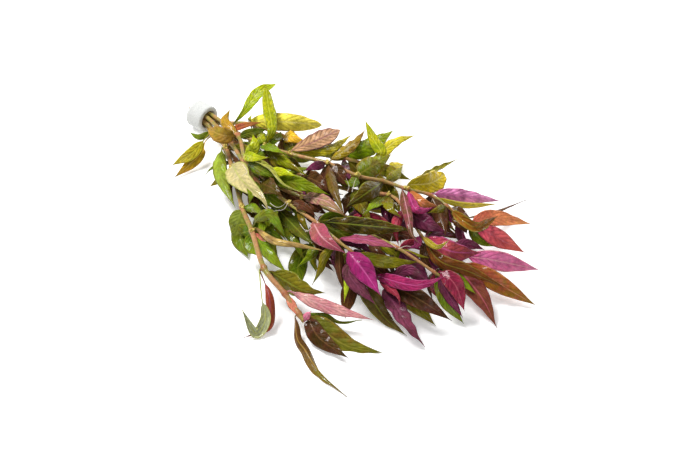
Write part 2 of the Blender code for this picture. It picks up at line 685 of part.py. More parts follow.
def leaf_object(name, rows, collection):
    """A leaf: the sheet of its blade, which ends in points, with a thickness."""
    points = [rows[0][1], *(point for row in rows[1:-1] for point in row), rows[-1][1]]

    def corner(i, j):
        if i == 0:
            return 0
        return len(points) - 1 if i == len(rows) - 1 else 3 * (i - 1) + j + 1

    faces = []
    for i, j in itertools.product(range(len(rows) - 1), (0, 1)):
        ring = (corner(i, j), corner(i, j + 1), corner(i + 1, j + 1), corner(i + 1, j))
        faces.append(tuple(dict.fromkeys(ring)))
    thing = mesh_object(name, points, faces, collection)
    solidify = thing.modifiers.new("Thickness", "SOLIDIFY")
    solidify.thickness = LEAF_THICKNESS * MM
    solidify.offset = 0
    return thing


def stem_object(name, collection):
    """A stem with no leaves: a round section drawn along its axis, thicker at each joint."""
    curve = bpy.data.curves.new(name, "CURVE")
    curve.dimensions = "3D"
    curve.bevel_depth = MM
    curve.bevel_resolution = 1
    curve.use_fill_caps = True
    rings = stem_line(name)
    spline = curve.splines.new("POLY")
    spline.points.add(len(rings) - 1)
    for spot, (point, radius) in zip(spline.points, rings):
        spot.co = (*(point * MM), 1)
        spot.radius = radius
    swept = bpy.data.objects.new(name + "_axis", curve)
    mesh = bpy.data.meshes.new_from_object(swept)
    bpy.data.objects.remove(swept)
    mesh.name = name
    work = bmesh.new()
    work.from_mesh(mesh)
    bmesh.ops.remove_doubles(work, verts=work.verts, dist=1e-6)
    work.to_mesh(mesh)
    work.free()
    thing = bpy.data.objects.new(name, mesh)
    collection.objects.link(thing)
    return thing


def cuff_object(collection, helpers):
    """A ring of foam, bored through and cut flat underneath."""
    bpy.ops.mesh.primitive_cylinder_add(
        vertices=CUFF_SIDES, radius=CUFF_RADIUS * MM, depth=CUFF_LENGTH * MM
    )
    cuff = bpy.context.active_object
    cuff.name = cuff.data.name = "cuff"
    move(cuff, collection)
    bpy.ops.mesh.primitive_cylinder_add(
        vertices=CUFF_SIDES, radius=CUFF_BORE_RADIUS * MM, depth=2 * CUFF_LENGTH * MM
    )
    bore = bpy.context.active_object
    bore.name = bore.data.name = "cuff_bore"
    move(bore, helpers)
    for thing in (cuff, bore):
        thing.location = cuff_centre() * MM
        thing.rotation_euler.y = math.pi / 2
    bpy.ops.mesh.primitive_cube_add(size=2 * CUFF_LENGTH * MM)
    ground = bpy.context.active_object
    ground.name = ground.data.name = "cuff_flat"
    ground.location = cuff_centre() * MM
    ground.location.z = -CUFF_LENGTH * MM
    move(ground, helpers)
    bevel = cuff.modifiers.new("Edge", "BEVEL")
    bevel.width = CUFF_EDGE * MM
    bevel.segments = 1
    bevel.angle_limit = math.radians(60)
    for cutter in (bore, ground):
        cut = cuff.modifiers.new(cutter.name, "BOOLEAN")
        cut.operation = "DIFFERENCE"
        cut.solver = "EXACT"
        cut.object = cutter
    return cuff


def move(thing, collection):
    for other in list(thing.users_collection):
        other.objects.unlink(thing)
    collection.objects.link(thing)


def paint(thing, slot):
    """Gives the object a material of its own, of its slot's colour."""
    material = bpy.data.materials.new(thing.name)
    material.use_nodes = True
    shader = material.node_tree.nodes["Principled BSDF"]
    shader.inputs["Base Color"].default_value = (*SLOTS[slot], 1)
    shader.inputs["Roughness"].default_value = 0.8 if slot == "foam" else 0.3
    shader.inputs["Metallic"].default_value = 0
    material.diffuse_color = (*SLOTS[slot], 1)
    thing.data.materials.clear()
    thing.data.materials.append(material)


def new_collection(name):
    collection = bpy.data.collections.new(name)
    bpy.context.scene.collection.children.link(collection)
    return collection


def main():
    for thing in list(bpy.data.objects):
        bpy.data.objects.remove(thing)
    plant = new_collection("alternanthera_reineckii")
    helpers = new_collection("helpers")

    blades = settled()
    parts = [cuff_object(plant, helpers)]
    paint(parts[0], "foam")
    stems = {name: stem_object(name, plant) for name in STEMS}
    for name, stem in stems.items():
        paint(stem, "stem")
        parts.append(stem)
    for one in LEAVES:
        if one.is_young:
            young_leaf = leaf_object(one.stem + "_" + one.name, blades[one.name], helpers)
            union = stems[one.stem].modifiers.new(one.name, "BOOLEAN")
            union.operation = "UNION"
            union.solver = "EXACT"
            union.object = young_leaf
        else:
            own_leaf = leaf_object(one.name, blades[one.name], plant)
            paint(own_leaf, one.slot)
            parts.append(own_leaf)
    for thing in helpers.objects:
        thing.hide_render = True
        thing.display_type = "WIRE"

    bpy.context.view_layer.update()
    depsgraph = bpy.context.evaluated_depsgraph_get()
    corners = []
    for thing in parts:
        mesh = thing.evaluated_get(depsgraph).to_mesh()
        corners += [thing.matrix_world @ vertex.co for vertex in mesh.vertices]
    low = [min(corner[axis] for corner in corners) for axis in range(3)]
    high = [max(corner[axis] for corner in corners) for axis in range(3)]
    middle = bpy.data.objects.new("middle", None)
    middle.location = (-(low[0] + high[0]) / 2, -(low[1] + high[1]) / 2, -low[2])
    helpers.objects.link(middle)
    for thing in (*plant.objects, *helpers.objects):
        if thing is not middle:
            thing.parent = middle


main()
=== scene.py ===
"""The looks of a bunch of Alternanthera reineckii that lies on a pale floor.

Every stem and leaf of the model is made again here, finer and in its own colours, on the same
plan. Lengths are in millimetres until a mesh is made, which is in metres.
"""

import itertools
import math
import random
from typing import NamedTuple

import bmesh
import bpy
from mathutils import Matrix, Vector, noise
from mathutils.bvhtree import BVHTree


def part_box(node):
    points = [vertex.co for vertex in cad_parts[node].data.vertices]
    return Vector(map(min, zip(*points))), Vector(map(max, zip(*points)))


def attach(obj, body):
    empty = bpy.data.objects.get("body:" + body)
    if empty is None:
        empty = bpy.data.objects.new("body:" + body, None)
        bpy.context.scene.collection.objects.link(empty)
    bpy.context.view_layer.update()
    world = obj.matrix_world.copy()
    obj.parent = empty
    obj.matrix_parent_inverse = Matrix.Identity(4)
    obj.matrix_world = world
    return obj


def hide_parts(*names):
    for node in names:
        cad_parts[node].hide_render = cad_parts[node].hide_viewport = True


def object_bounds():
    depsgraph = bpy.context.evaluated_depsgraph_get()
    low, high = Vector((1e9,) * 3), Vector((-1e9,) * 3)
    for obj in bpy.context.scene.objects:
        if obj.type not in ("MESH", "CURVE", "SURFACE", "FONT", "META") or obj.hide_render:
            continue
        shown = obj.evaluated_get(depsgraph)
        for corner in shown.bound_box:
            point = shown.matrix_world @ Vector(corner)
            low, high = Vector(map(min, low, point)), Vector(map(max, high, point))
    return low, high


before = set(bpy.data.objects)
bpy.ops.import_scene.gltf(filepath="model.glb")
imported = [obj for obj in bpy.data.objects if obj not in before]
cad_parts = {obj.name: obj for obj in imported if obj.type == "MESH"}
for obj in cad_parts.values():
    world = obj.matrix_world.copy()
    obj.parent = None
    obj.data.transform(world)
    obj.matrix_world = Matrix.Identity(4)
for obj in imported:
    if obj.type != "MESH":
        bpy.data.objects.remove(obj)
cad_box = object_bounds()

bl_info = {
    "name": "Aquarium plant bunch",
    "version": (1, 0, 0),
    "blender": (4, 5, 0),
    "location": "View3D > Sidebar > Bunch",
    "description": "Makes a bunch of red and green aquarium plant stems in a foam cuff",
    "category": "Object",
}

MM = 0.001

# The places of joints and leaves are drawn as one fixed eye sees them: a number of steps across
# and down a view that is 700 steps wide and 466 high, and a height above the surface.
VIEW_CENTRE = (350, 233)
STEPS_PER_RADIAN = 1653
EYE_DISTANCE = 1020
EYE_AZIMUTH = math.radians(40)
EYE_ELEVATION = math.radians(40)

# The top of the heap of leaves, as (across, down, height), and where its front meets the surface,
# as (across, down).
RIDGE = (
    (190, 118, 20),
    (225, 122, 26),
    (270, 140, 36),
    (320, 165, 40),
    (370, 185, 38),
    (430, 208, 32),
    (480, 228, 20),
    (530, 250, 8),
)
FOOT = (
    (170, 178),
    (190, 190),
    (225, 225),
    (245, 275),
    (262, 336),
    (300, 345),
    (340, 335),
    (380, 345),
    (420, 350),
    (465, 335),
    (500, 330),
    (540, 315),
)
BACK_REACH = 60
BACK_SHARE = 0.4

# The foam cuff lies along X, with a narrow flat where it presses on the surface.
CUFF_SPOT = (202, 116)
CUFF_RADIUS = 9
CUFF_BORE_RADIUS = 6
CUFF_LENGTH = 13
CUFF_FLAT_DEPTH = 0.35
CUFF_EDGE = 0.8
CUFF_SIDES = 28

STEM_RADIUS = 1.3
STOUT_STEM = "front_stem"
STOUT_GROWTH = 0.8
JOINT_SWELL = 1.35
STEM_TIP_RADIUS = 0.8
STEM_STUB = 2.5
STEM_SPAN = (0.15, 0.85, 1)
BUNDLE_RADIUS = 4

LEAF_THICKNESS = 0.5
LEAF_FOLD = math.radians(15)
LEAF_STATIONS = (0, 0.2, 0.45, 0.76, 1)
CURVED_STATIONS = (0, 0.17, 0.37, 0.58, 0.8, 1)
YOUNG_STATIONS = (0, 0.28, 0.64, 1)
MIDRIB_SPAN = tuple(step / 10 for step in range(1, 11))
PETIOLE_WIDTH = 1.5
YOUNG_ROOT = 0.6
TIP_WIDTH = 0.5
BASE_TAPER = 1.0
TIP_TAPER = 1.15
GAP = 0.3

# A leaf that meets another is lifted towards the eye, or away from it if it is an inner leaf,
# turned about its midrib, or moved along its stem. The cheapest change that frees it is taken.
LIFTS = tuple(0.75 * step for step in range(40))
TURNS = (0, 12, -12, 24, -24, 36, -36)
SLIDES = (0, 2.5, -2.5, 5, -5, 7.5, -7.5)
TURN_COST = 0.15
SLIDE_COST = 0.8
LIFT_START = 0.3
LIFT_ROUND_STEM = 5

class Leaf(NamedTuple):
    """A leaf: the joint that it grows from, and the points (across, down, rise) of its midrib.

    rise is the height over the top of the heap there. turn is how far the upper side is turned
    away from the eye, about the midrib, in degrees. A young leaf is one with its stem, and an
    inner leaf is a young one that is tucked under the others.
    """

    name: str
    stem: str
    joint: int
    width: float
    turn: float
    slot: str
    course: tuple
    is_young: bool
    is_inner: bool = False


def leaf(name, stem, joint, width, turn, slot, *course):
    return Leaf(name, stem, joint, width, turn, slot, course, False)


def young(name, stem, joint, width, turn, slot, *course):
    return Leaf(name, stem, joint, width, turn, slot, course, True)


def inner(name, stem, joint, width, turn, slot, *course):
    return Leaf(name, stem, joint, width, turn, slot, course, True, True)


# The share of a leaf's length that is a bare stalk, where it has one.
STALKS = {
    "ochre_left_leaf": 0.34,
    "lime_left_leaf": 0.4,
    "hanging_cup_leaf": 0.4,
    "hanging_mauve_leaf": 0.2,
    "arched_green_leaf": 0.16,
}

# Joints from the cuff to the growing tip, as (across, down, rise).
STEMS = {
    "right_stem": (
        (242, 146, -14),
        (300, 174, -16),
        (350, 190, -14),
        (388, 195, -12),
        (404, 208, -9),
        (425, 240, -8),
        (448, 253, -7),
        (462, 260, -6),
    ),
    "upper_stem": (
        (230, 129, -11),
        (266, 146, -8),
        (290, 154, -6),
        (327, 163, -2),
        (358, 176, -3),
        (383, 181, -2),
        (407, 189, 0),
        (430, 195, 0),
        (447, 206, 0),
        (462, 219, 0),
        (468, 223, 0),
    ),
    "long_stem": (
        (238, 136, -2),
        (246, 160, -2),
        (270, 182, -8),
        (303, 198, -12),
        (345, 217, -9),
        (370, 234, -9),
        (398, 248, 0),
        (434, 272, 0),
        (441, 277, 0),
    ),
    "middle_stem": (
        (231, 143, -5),
        (256, 180, -9),
        (288, 203, -4),
        (317, 223, 0),
        (338, 241, 2),
        (351, 251, 2),
        (356, 257, 1),
    ),
    "front_stem": (
        (213, 130, -15),
        (226, 148, -12),
        (232, 168, -8),
        (242, 207, -4),
        (252, 231, -1),
        (264, 268, 1),
        (285, 294, 0),
        (299, 314, 0),
        (304, 321, 1),
    ),
    "low_stem": (
        (236, 160, -20),
        (276, 207, -20),
        (318, 242, -18),
        (355, 266, -14),
        (386, 283, -11),
    ),
    "back_stem": (
        (251, 124, -15),
        (282, 136, -16),
        (318, 150, -18),
        (344, 158, -16),
        (372, 165, -14),
        (384, 168, -12),
    ),
}

# From the back and underside of the heap to its top, then the inner leaves.
LEAVES = (
    young("hidden_low_1", "low_stem", 2, 12, 0, "green", (300, 258, -22), (297, 292, -40)),
    young("hidden_low_2", "low_stem", 3, 12, 0, "brown", (350, 290, -20), (345, 318, -40)),
    young("hidden_low_3", "low_stem", 1, 12, 0, "green", (263, 220, -24), (262, 252, -40)),
    young("hidden_back_1", "back_stem", 1, 13, 0, "green", (292, 150, -26), (318, 160, -40)),
    young("hidden_back_2", "back_stem", 3, 13, 0, "olive", (362, 172, -24), (396, 188, -40)),
    young("hidden_right_1", "right_stem", 2, 12, 0, "olive", (370, 202, -26), (402, 215, -40)),
    young("hidden_right_2", "right_stem", 4, 12, 0, "brown", (428, 224, -26), (464, 240, -40)),
    young("back_6", "back_stem", 5, 5, 0, "olive", (390, 174, -14), (397, 178, -16)),
    young("back_5", "back_stem", 5, 7, 20, "yellow", (392, 167, -8), (404, 164, -10)),
    young("back_4", "back_stem", 3, 6, 20, "olive", (330, 154, -10), (314, 156, -12)),
    young("back_3", "back_stem", 1, 10, 10, "ochre", (291, 137, -4), (309, 144, -8)),
    leaf("yellow_back_leaf", "back_stem", 0, 12.5, 0, "yellow", (287, 122, 0), (322, 125, -4)),
    leaf("green_back_leaf", "back_stem", 3, 12.5, 10, "green", (364, 149, -4), (394, 130, 0)),
    young("yellow_far", "back_stem", 4, 8, 20, "yellow", (393, 143, 0), (416, 135, 2)),
    leaf(
        "lime_upright_leaf", "back_stem", 4, 8, 0, "lime",
        (381, 153, 3), (374, 140, 7), (365, 120, 14),
    ),
    young("back_2", "back_stem", 0, 4, 0, "lime", (249, 120, 1), (252, 114, 2)),
    young("back_1", "long_stem", 0, 8, 0, "ochre", (225, 122, 2), (230, 109, 6)),
    young("left_small", "front_stem", 0, 4.5, 0, "green", (200, 137, -10), (189, 132, -10)),
    young("low_1", "low_stem", 0, 3.5, 0, "green", (214, 167, -4), (204, 176, -2)),
    leaf("green_gloss_leaf", "low_stem", 1, 10, 0, "green", (300, 232, -8), (316, 247, -6)),
    young("low_2", "low_stem", 1, 6, 0, "green", (278, 225, -4), (288, 240, -4)),
    young("low_3", "low_stem", 1, 8, 0, "green", (262, 228, -8), (268, 240, -10)),
    young("low_4", "low_stem", 2, 8, 0, "green", (310, 256, -2), (296, 268, -4)),
    leaf(
        "ochre_left_leaf", "front_stem", 0, 8, 0, "ochre",
        (205, 142, -12), (200, 155, -9), (174, 178, 0),
    ),
    leaf(
        "lime_left_leaf", "front_stem", 0, 8, 0, "lime",
        (204, 141, -9), (192, 154, -7), (172, 166, -3),
    ),
    young("front_1", "front_stem", 2, 5, 0, "olive", (219, 180, -2), (209, 187, -1)),
    leaf("left_drop_leaf", "front_stem", 1, 10, 0, "green", (221, 174, -4), (236, 208, -6)),
    young("upper_1", "upper_stem", 0, 4.5, 0, "orange", (246, 125, 0), (264, 122, 0)),
    leaf("lime_arched_leaf", "upper_stem", 0, 8, 0, "lime", (244, 112, 2), (259, 92, 7), (276, 84, 8)),
    leaf(
        "lime_tall_leaf", "upper_stem", 1, 8.5, 0, "lime",
        (272, 128, 6), (268, 104, 14), (266, 88, 20),
    ),
    young("long_1", "long_stem", 0, 6, 0, "green", (250, 133, 0), (268, 129, 0)),
    young("right_1", "right_stem", 0, 6, 0, "green", (249, 150, -6), (257, 155, -6)),
    leaf("lime_under_leaf", "upper_stem", 2, 8.5, 30, "lime", (324, 150, -6), (352, 135, -5)),
    leaf("mauve_upper_leaf", "upper_stem", 2, 12, 15, "mauve", (312, 143, 0), (340, 130, 4)),
    leaf("olive_pointed_leaf", "upper_stem", 3, 8.5, 20, "olive", (350, 146, 2), (366, 129, 5)),
    leaf("olive_broad_leaf", "upper_stem", 4, 15, 0, "olive", (369, 168, 0), (392, 154, 2)),
    young("upper_5", "upper_stem", 3, 6, 0, "mauve", (313, 167, 1), (304, 171, -1)),
    young("left_low", "front_stem", 4, 13, 10, "green", (253, 242, -3), (261, 256, -5)),
    young("left_wet", "front_stem", 3, 12, 180, "green", (238, 222, 0), (233, 240, 0)),
    leaf("olive_hook_leaf", "upper_stem", 1, 8, 0, "olive", (284, 162, -2), (308, 176, -4)),
    leaf("green_shine_leaf", "long_stem", 2, 10, 0, "green", (300, 184, 2), (330, 195, 2)),
    young("upper_3", "upper_stem", 1, 8, 10, "green", (276, 150, 2), (288, 155, 1)),
    young("long_2", "long_stem", 1, 8, 0, "green", (262, 171, 2), (283, 178, 1)),
    leaf("pale_rolled_leaf", "long_stem", 1, 6, 20, "lime", (268, 168, 3), (282, 184, 4), (303, 193, 3)),
    young("long_3", "long_stem", 1, 7, 0, "lime", (256, 158, 3), (270, 158, 3)),
    young("long_4", "long_stem", 2, 7, 0, "lime", (281, 172, 3), (298, 177, 3)),
    young("long_7", "long_stem", 1, 8, 0, "lime", (254, 147, 4), (253, 134, 8)),
    leaf("pale_pink_leaf", "long_stem", 3, 8, 0, "pink", (326, 201, 2), (346, 216, 2)),
    young("tan_folded", "long_stem", 0, 11, 0, "ochre", (222, 135, 6), (206, 128, 5)),
    young("middle_1", "middle_stem", 1, 9, 0, "green", (252, 192, 2), (249, 205, 1)),
    leaf("beige_leaf", "front_stem", 2, 16, 180, "beige", (243, 181, 0), (262, 197, -4), (271, 216, -8)),
    leaf("brown_olive_leaf", "middle_stem", 1, 11, 0, "brown", (272, 188, 3), (284, 198, 2)),
    young("front_2", "front_stem", 3, 7, 0, "green", (254, 208, 1), (266, 217, -1)),
    leaf(
        "arched_green_leaf", "front_stem", 4, 8, 0, "green",
        (258, 219, 6), (271, 216, 6), (286, 238, 2),
    ),
    young("front_3", "front_stem", 4, 6, 0, "orange", (263, 242, -4), (275, 255, -6)),
    young("front_4", "front_stem", 4, 9, 0, "green", (270, 255, -3), (287, 273, -5)),
    leaf(
        "branch_olive_leaf", "front_stem", 4, 6, 0, "brown",
        (272, 240, 3), (300, 245, 3), (330, 252, 2),
    ),
    young("middle_2", "middle_stem", 2, 6, 0, "brown", (303, 206, 2), (318, 218, -2)),
    leaf("green_drape_leaf", "upper_stem", 5, 13, 0, "green", (368, 192, 3), (345, 208, 1)),
    young("upper_4", "upper_stem", 4, 7, 0, "green", (352, 184, 1), (344, 180, 0)),
    leaf("slim_olive_leaf", "upper_stem", 3, 8.5, 0, "brown", (333, 187, 4), (345, 217, 2)),
    young("right_2", "right_stem", 3, 8, 0, "green", (372, 206, 0), (362, 217, -2)),
    young("right_3", "right_stem", 3, 8, 0, "olive", (389, 207, -2), (402, 218, -4)),
    leaf("dark_long_leaf", "middle_stem", 3, 11, 10, "green", (370, 226, 0), (414, 230, -1)),
    young(
        "drop_olive", "middle_stem", 4, 6.5, 20, "olive",
        (326, 256, 2), (321, 270, 0), (312, 285, -2),
    ),
    young("brown_drop", "middle_stem", 4, 7.5, 0, "brown", (340, 272, 2), (345, 295, 0)),
    leaf("pink_heart_leaf", "middle_stem", 3, 12.5, 0, "pink", (324, 239, 3), (347, 254, 3)),
    young("dark_olive", "long_stem", 5, 8, 0, "olive", (390, 249, -4), (430, 258, -5)),
    young("middle_4", "middle_stem", 5, 8, 0, "olive", (385, 262, -2), (420, 262, -3)),
    young("middle_3", "middle_stem", 5, 5, 0, "lime", (347, 284, 1), (344, 303, 0)),
    leaf("mauve_dark_leaf", "middle_stem", 6, 9, 0, "mauve", (350, 276, 3), (376, 305, 0)),
    leaf("magenta_slim_leaf", "middle_stem", 4, 8, 50, "magenta", (368, 240, 3), (398, 248, 2)),
    leaf("magenta_leaf", "middle_stem", 5, 14, 0, "magenta", (364, 271, 2), (381, 296, 3)),
    leaf(
        "hanging_mauve_leaf", "front_stem", 5, 8, 0, "mauve",
        (268, 292, 3), (270, 310, 2), (267, 328, 0.5), (243, 338, 0.6),
    ),
    leaf(
        "hanging_cup_leaf", "front_stem", 5, 7.5, 180, "lime",
        (262, 298, 4), (266, 318, 1), (256, 333, 0.6), (242, 309, 14),
    ),
    young("brown_under", "front_stem", 5, 9, 0, "brown", (285, 285, -3), (303, 300, -4)),
    leaf("bitten_leaf", "front_stem", 5, 14, 0, "green", (302, 290, 1), (325, 293, 0)),
    young("front_5", "front_stem", 6, 5, 0, "orange", (291, 303, 1), (300, 318, 1)),
    young("dark_thin", "front_stem", 7, 6, 60, "green", (325, 313, 0), (340, 321, 0), (362, 320, 0)),
    leaf("pink_front_leaf", "front_stem", 6, 8, 15, "pink", (326, 306, 2), (374, 320, 3)),
    leaf("olive_front_leaf", "front_stem", 7, 15, 0, "olive", (345, 345, 2), (384, 353, 1)),
    leaf("brown_front_leaf", "front_stem", 8, 11, 0, "brown", (320, 338, 3), (349, 358, 2)),
    leaf(
        "twisted_leaf", "front_stem", 7, 9, 0, "ochre",
        (297, 338, 4), (305, 350, 3), (319, 371, 2), (347, 397, 0.5),
    ),
    young("front_6", "front_stem", 8, 5, 0, "pink", (307, 316, 3), (311, 311, 5)),
    leaf(
        "green_edged_leaf", "low_stem", 3, 11, 0, "green",
        (369, 294, -5), (385, 318, -6), (407, 336, -3),
    ),
    leaf("brown_spread_leaf", "low_stem", 4, 12, 0, "brown", (420, 300, 2), (452, 321, 2)),
    leaf("purple_leaf", "low_stem", 4, 13, 0, "mauve", (403, 318, 2), (425, 347, 2)),
    young("low_5", "low_stem", 4, 7, 0, "mauve", (408, 270, -1), (428, 281, -1)),
    young("low_6", "low_stem", 4, 5, 0, "crimson", (397, 295, 1), (400, 308, 1)),
    leaf("magenta_low_leaf", "low_stem", 4, 8, 0, "magenta", (415, 285, 4), (446, 276, 2)),
    young("green_tip", "long_stem", 7, 9, 0, "green", (446, 300, -2), (464, 324, -1)),
    young("long_5", "long_stem", 7, 7, 0, "mauve", (450, 297, 0), (463, 318, 0)),
    young("long_6", "long_stem", 7, 7, 0, "green", (458, 279, 0), (476, 294, 0)),
    leaf("crimson_low_leaf", "long_stem", 7, 11, 0, "crimson", (455, 285, 2), (464, 311, 0)),
    leaf("red_brown_leaf", "right_stem", 6, 13, 0, "crimson", (480, 295, 0), (497, 328, 0.5)),
    leaf("olive_long_leaf", "right_stem", 5, 9, 0, "olive", (440, 261, 1), (470, 272, 2), (508, 289, 1)),
    leaf("maroon_leaf", "right_stem", 7, 12, 0, "orange", (496, 282, 1), (537, 306, 0.5)),
    young("right_6", "right_stem", 6, 7, 0, "mauve", (466, 244, -3), (485, 250, -3)),
    leaf("pink_long_leaf", "right_stem", 7, 12, 0, "pink", (493, 260, 1), (540, 270, 1)),
    young("right_5", "right_stem", 5, 5, 0, "magenta", (416, 246, 0), (406, 247, 0)),
    leaf("magenta_broad_leaf", "right_stem", 5, 13, 0, "magenta", (450, 251, 2), (481, 253, 0)),
    young("right_4", "right_stem", 5, 4, 0, "yellow", (436, 247, 2), (450, 239, 2)),
    young("upper_6", "upper_stem", 5, 7, 0, "olive", (394, 176, 0), (403, 166, 0)),
    leaf("rolled_olive_leaf", "upper_stem", 6, 8, 60, "olive", (431, 175, 3), (457, 159, 4)),
    leaf(
        "olive_yellow_leaf", "upper_stem", 6, 13.5, 0, "yellow",
        (427, 184, 2), (437, 180, 2), (444, 174, 2),
    ),
    young("upper_12", "upper_stem", 6, 7.5, 0, "magenta", (414, 207, 3), (423, 211, 2), (434, 207, 0)),
    young("upper_7", "upper_stem", 6, 7, 0, "orange", (421, 202, 1), (440, 207, -1)),
    leaf(
        "hanging_pink_leaf", "upper_stem", 6, 7.5, 0, "pink",
        (408, 215, 3), (412, 235, 2), (423, 246, 0),
    ),
    young("upper_8", "upper_stem", 7, 4, 0, "yellow", (462, 205, -2), (499, 204, -4)),
    leaf("pink_upper_leaf", "upper_stem", 7, 10, 10, "magenta", (465, 196, 0), (501, 201, -2)),
    young("upper_9", "upper_stem", 8, 5, 0, "olive", (438, 210, 1), (428, 213, 0)),
    young("brown_droop", "upper_stem", 8, 11, 0, "brown", (458, 214, 1), (467, 234, 0)),
    young("upper_11", "upper_stem", 10, 8, 0, "green", (478, 237, -4), (497, 247, -6)),
    leaf("orange_leaf", "upper_stem", 10, 10.5, 10, "orange", (495, 218, 0), (532, 224, 0)),
    leaf("crimson_leaf", "upper_stem", 9, 11, 0, "crimson", (501, 240, 0), (525, 253, 0)),
    young("upper_10", "upper_stem", 9, 4.5, 60, "brown", (495, 211, -1), (526, 200, 0)),
    leaf("olive_cup_leaf", "upper_stem", 8, 8, 0, "olive", (463, 221, 5), (477, 227, 5), (497, 216, 4)),
    inner("inner_1", "middle_stem", 1, 12, 0, "green", (268, 195, -6), (292, 212, -8)),
    inner("inner_2", "long_stem", 2, 12, 0, "brown", (292, 196, -6), (318, 212, -8)),
    inner("inner_3", "right_stem", 1, 11, 0, "brown", (318, 182, -4), (340, 196, -6)),
    inner("inner_4", "right_stem", 2, 11, 0, "olive", (362, 206, -4), (372, 226, -6)),
    inner("inner_5", "long_stem", 4, 12, 0, "crimson", (372, 222, -8), (402, 236, -8)),
    inner("inner_6", "upper_stem", 5, 10, 0, "olive", (392, 196, -3), (402, 214, -5)),
    inner("inner_7", "upper_stem", 7, 11, 0, "brown", (440, 214, -4), (446, 236, -6)),
    inner("inner_8", "right_stem", 4, 12, 0, "mauve", (424, 222, -3), (446, 232, -4)),
    inner("inner_9", "long_stem", 6, 12, 0, "mauve", (414, 268, -4), (432, 288, -6)),
    inner("inner_10", "middle_stem", 6, 12, 0, "brown", (380, 272, -4), (404, 292, -6)),
    inner("inner_11", "low_stem", 3, 12, 0, "brown", (366, 284, -4), (384, 304, -6)),
    inner("inner_12", "low_stem", 4, 12, 0, "olive", (410, 300, -6), (436, 326, -6)),
    inner("inner_13", "upper_stem", 9, 10, 0, "mauve", (482, 232, -6), (506, 240, -8)),
    inner("inner_14", "middle_stem", 3, 12, 0, "green", (338, 232, -6), (362, 246, -8)),
    inner("inner_15", "upper_stem", 4, 11, 0, "olive", (372, 190, -4), (392, 202, -6)),
    inner("inner_16", "right_stem", 0, 11, 0, "green", (250, 168, -10), (260, 192, -12)),
    inner("inner_17", "back_stem", 2, 10, 0, "olive", (338, 152, -2), (362, 150, -4)),
    inner("inner_18", "back_stem", 4, 9, 0, "olive", (392, 172, -2), (412, 180, -6)),
    inner("inner_19", "front_stem", 4, 12, 0, "green", (240, 236, -4), (248, 258, -6)),
    inner("inner_20", "low_stem", 1, 10, 0, "green", (290, 232, -8), (305, 262, -10)),
)


def forward():
    """The direction from the eye to the middle of the view."""
    level = math.cos(EYE_ELEVATION)
    return -Vector(
        (
            math.sin(EYE_AZIMUTH) * level,
            -math.cos(EYE_AZIMUTH) * level,
            math.sin(EYE_ELEVATION),
        )
    )


SIGHT = forward()
ACROSS = Vector((math.cos(EYE_AZIMUTH), math.sin(EYE_AZIMUTH), 0))
DOWN = SIGHT.cross(ACROSS)
EYE = -SIGHT * EYE_DISTANCE


def seen(across, down, height):
    """The point at this height that the eye sees there."""
    ray = (
        SIGHT
        + ACROSS * ((across - VIEW_CENTRE[0]) / STEPS_PER_RADIAN)
        + DOWN * ((down - VIEW_CENTRE[1]) / STEPS_PER_RADIAN)
    )
    return EYE + ray * ((height - EYE.z) / ray.z)


def between(rows, across):
    """The values of the rows, read between the two nearest in across."""
    if across <= rows[0][0]:
        return rows[0][1:]
    for low, high in zip(rows, rows[1:]):
        if across <= high[0]:
            share = (across - low[0]) / (high[0] - low[0])
            return tuple(a + (b - a) * share for a, b in zip(low[1:], high[1:]))
    return rows[-1][1:]


def heap_height(across, down):
    """How high the heap of leaves stands where the eye sees this spot on it."""
    ridge_down, ridge_height = between(RIDGE, across)
    (foot_down,) = between(FOOT, across)
    if down < ridge_down:
        share = min(1, (ridge_down - down) / BACK_REACH)
        return ridge_height * (1 - (1 - BACK_SHARE) * share)
    share = min(1, (down - ridge_down) / (foot_down - ridge_down))
    return ridge_height * math.cos(share * math.pi / 2)


def drawn(across, down, rise):
    return seen(across, down, max(LEAF_THICKNESS, heap_height(across, down) + rise))


def smooth(points, span):
    """A smooth line through the points, with points at these shares of each span."""
    ends = [2 * points[0] - points[1], *points, 2 * points[-1] - points[-2]]
    line = [points[0].copy()]
    for a, b, c, d in zip(ends, ends[1:], ends[2:], ends[3:]):
        for t in span:
            line.append(
                0.5
                * (
                    2 * b
                    + (c - a) * t
                    + (2 * a - 5 * b + 4 * c - d) * t**2
                    + (3 * b - a - 3 * c + d) * t**3
                )
            )
    return line


def stations_on(line, shares):
    """Points and directions at these shares of the line's length."""
    lengths = [0.0]
    for a, b in zip(line, line[1:]):
        lengths.append(lengths[-1] + (b - a).length)
    found = []
    for share in shares:
        target = share * lengths[-1]
        i = next(i for i, length in enumerate(lengths[1:]) if length >= target - 1e-6)
        step = lengths[i + 1] - lengths[i]
        t = (target - lengths[i]) / step
        found.append(line[i].lerp(line[i + 1], t))
    directions = []
    for i in range(len(found)):
        before = found[max(0, i - 1)]
        after = found[min(len(found) - 1, i + 1)]
        directions.append((after - before).normalized())
    return found, directions


def cuff_centre():
    """The middle of the cuff, which stands on its flat."""
    return seen(*CUFF_SPOT, CUFF_RADIUS - CUFF_FLAT_DEPTH)


def bundle_place(number):
    """Where a stem passes through the cuff: one in the middle, and the others round it."""
    if number == 0:
        return Vector((0, 0, 0))
    angle = math.tau * (number - 1) / (len(STEMS) - 1)
    return Vector((0, math.cos(angle), math.sin(angle))) * BUNDLE_RADIUS


def stem_course(name):
    """The points of a stem's axis: its cut end, the cuff's mouth, then its joints."""
    place = cuff_centre() + bundle_place(list(STEMS).index(name))
    half = Vector((CUFF_LENGTH / 2, 0, 0))
    stub = Vector((STEM_STUB, 0, 0))
    return [place - half - stub, place + half, *(drawn(*joint) for joint in STEMS[name])]


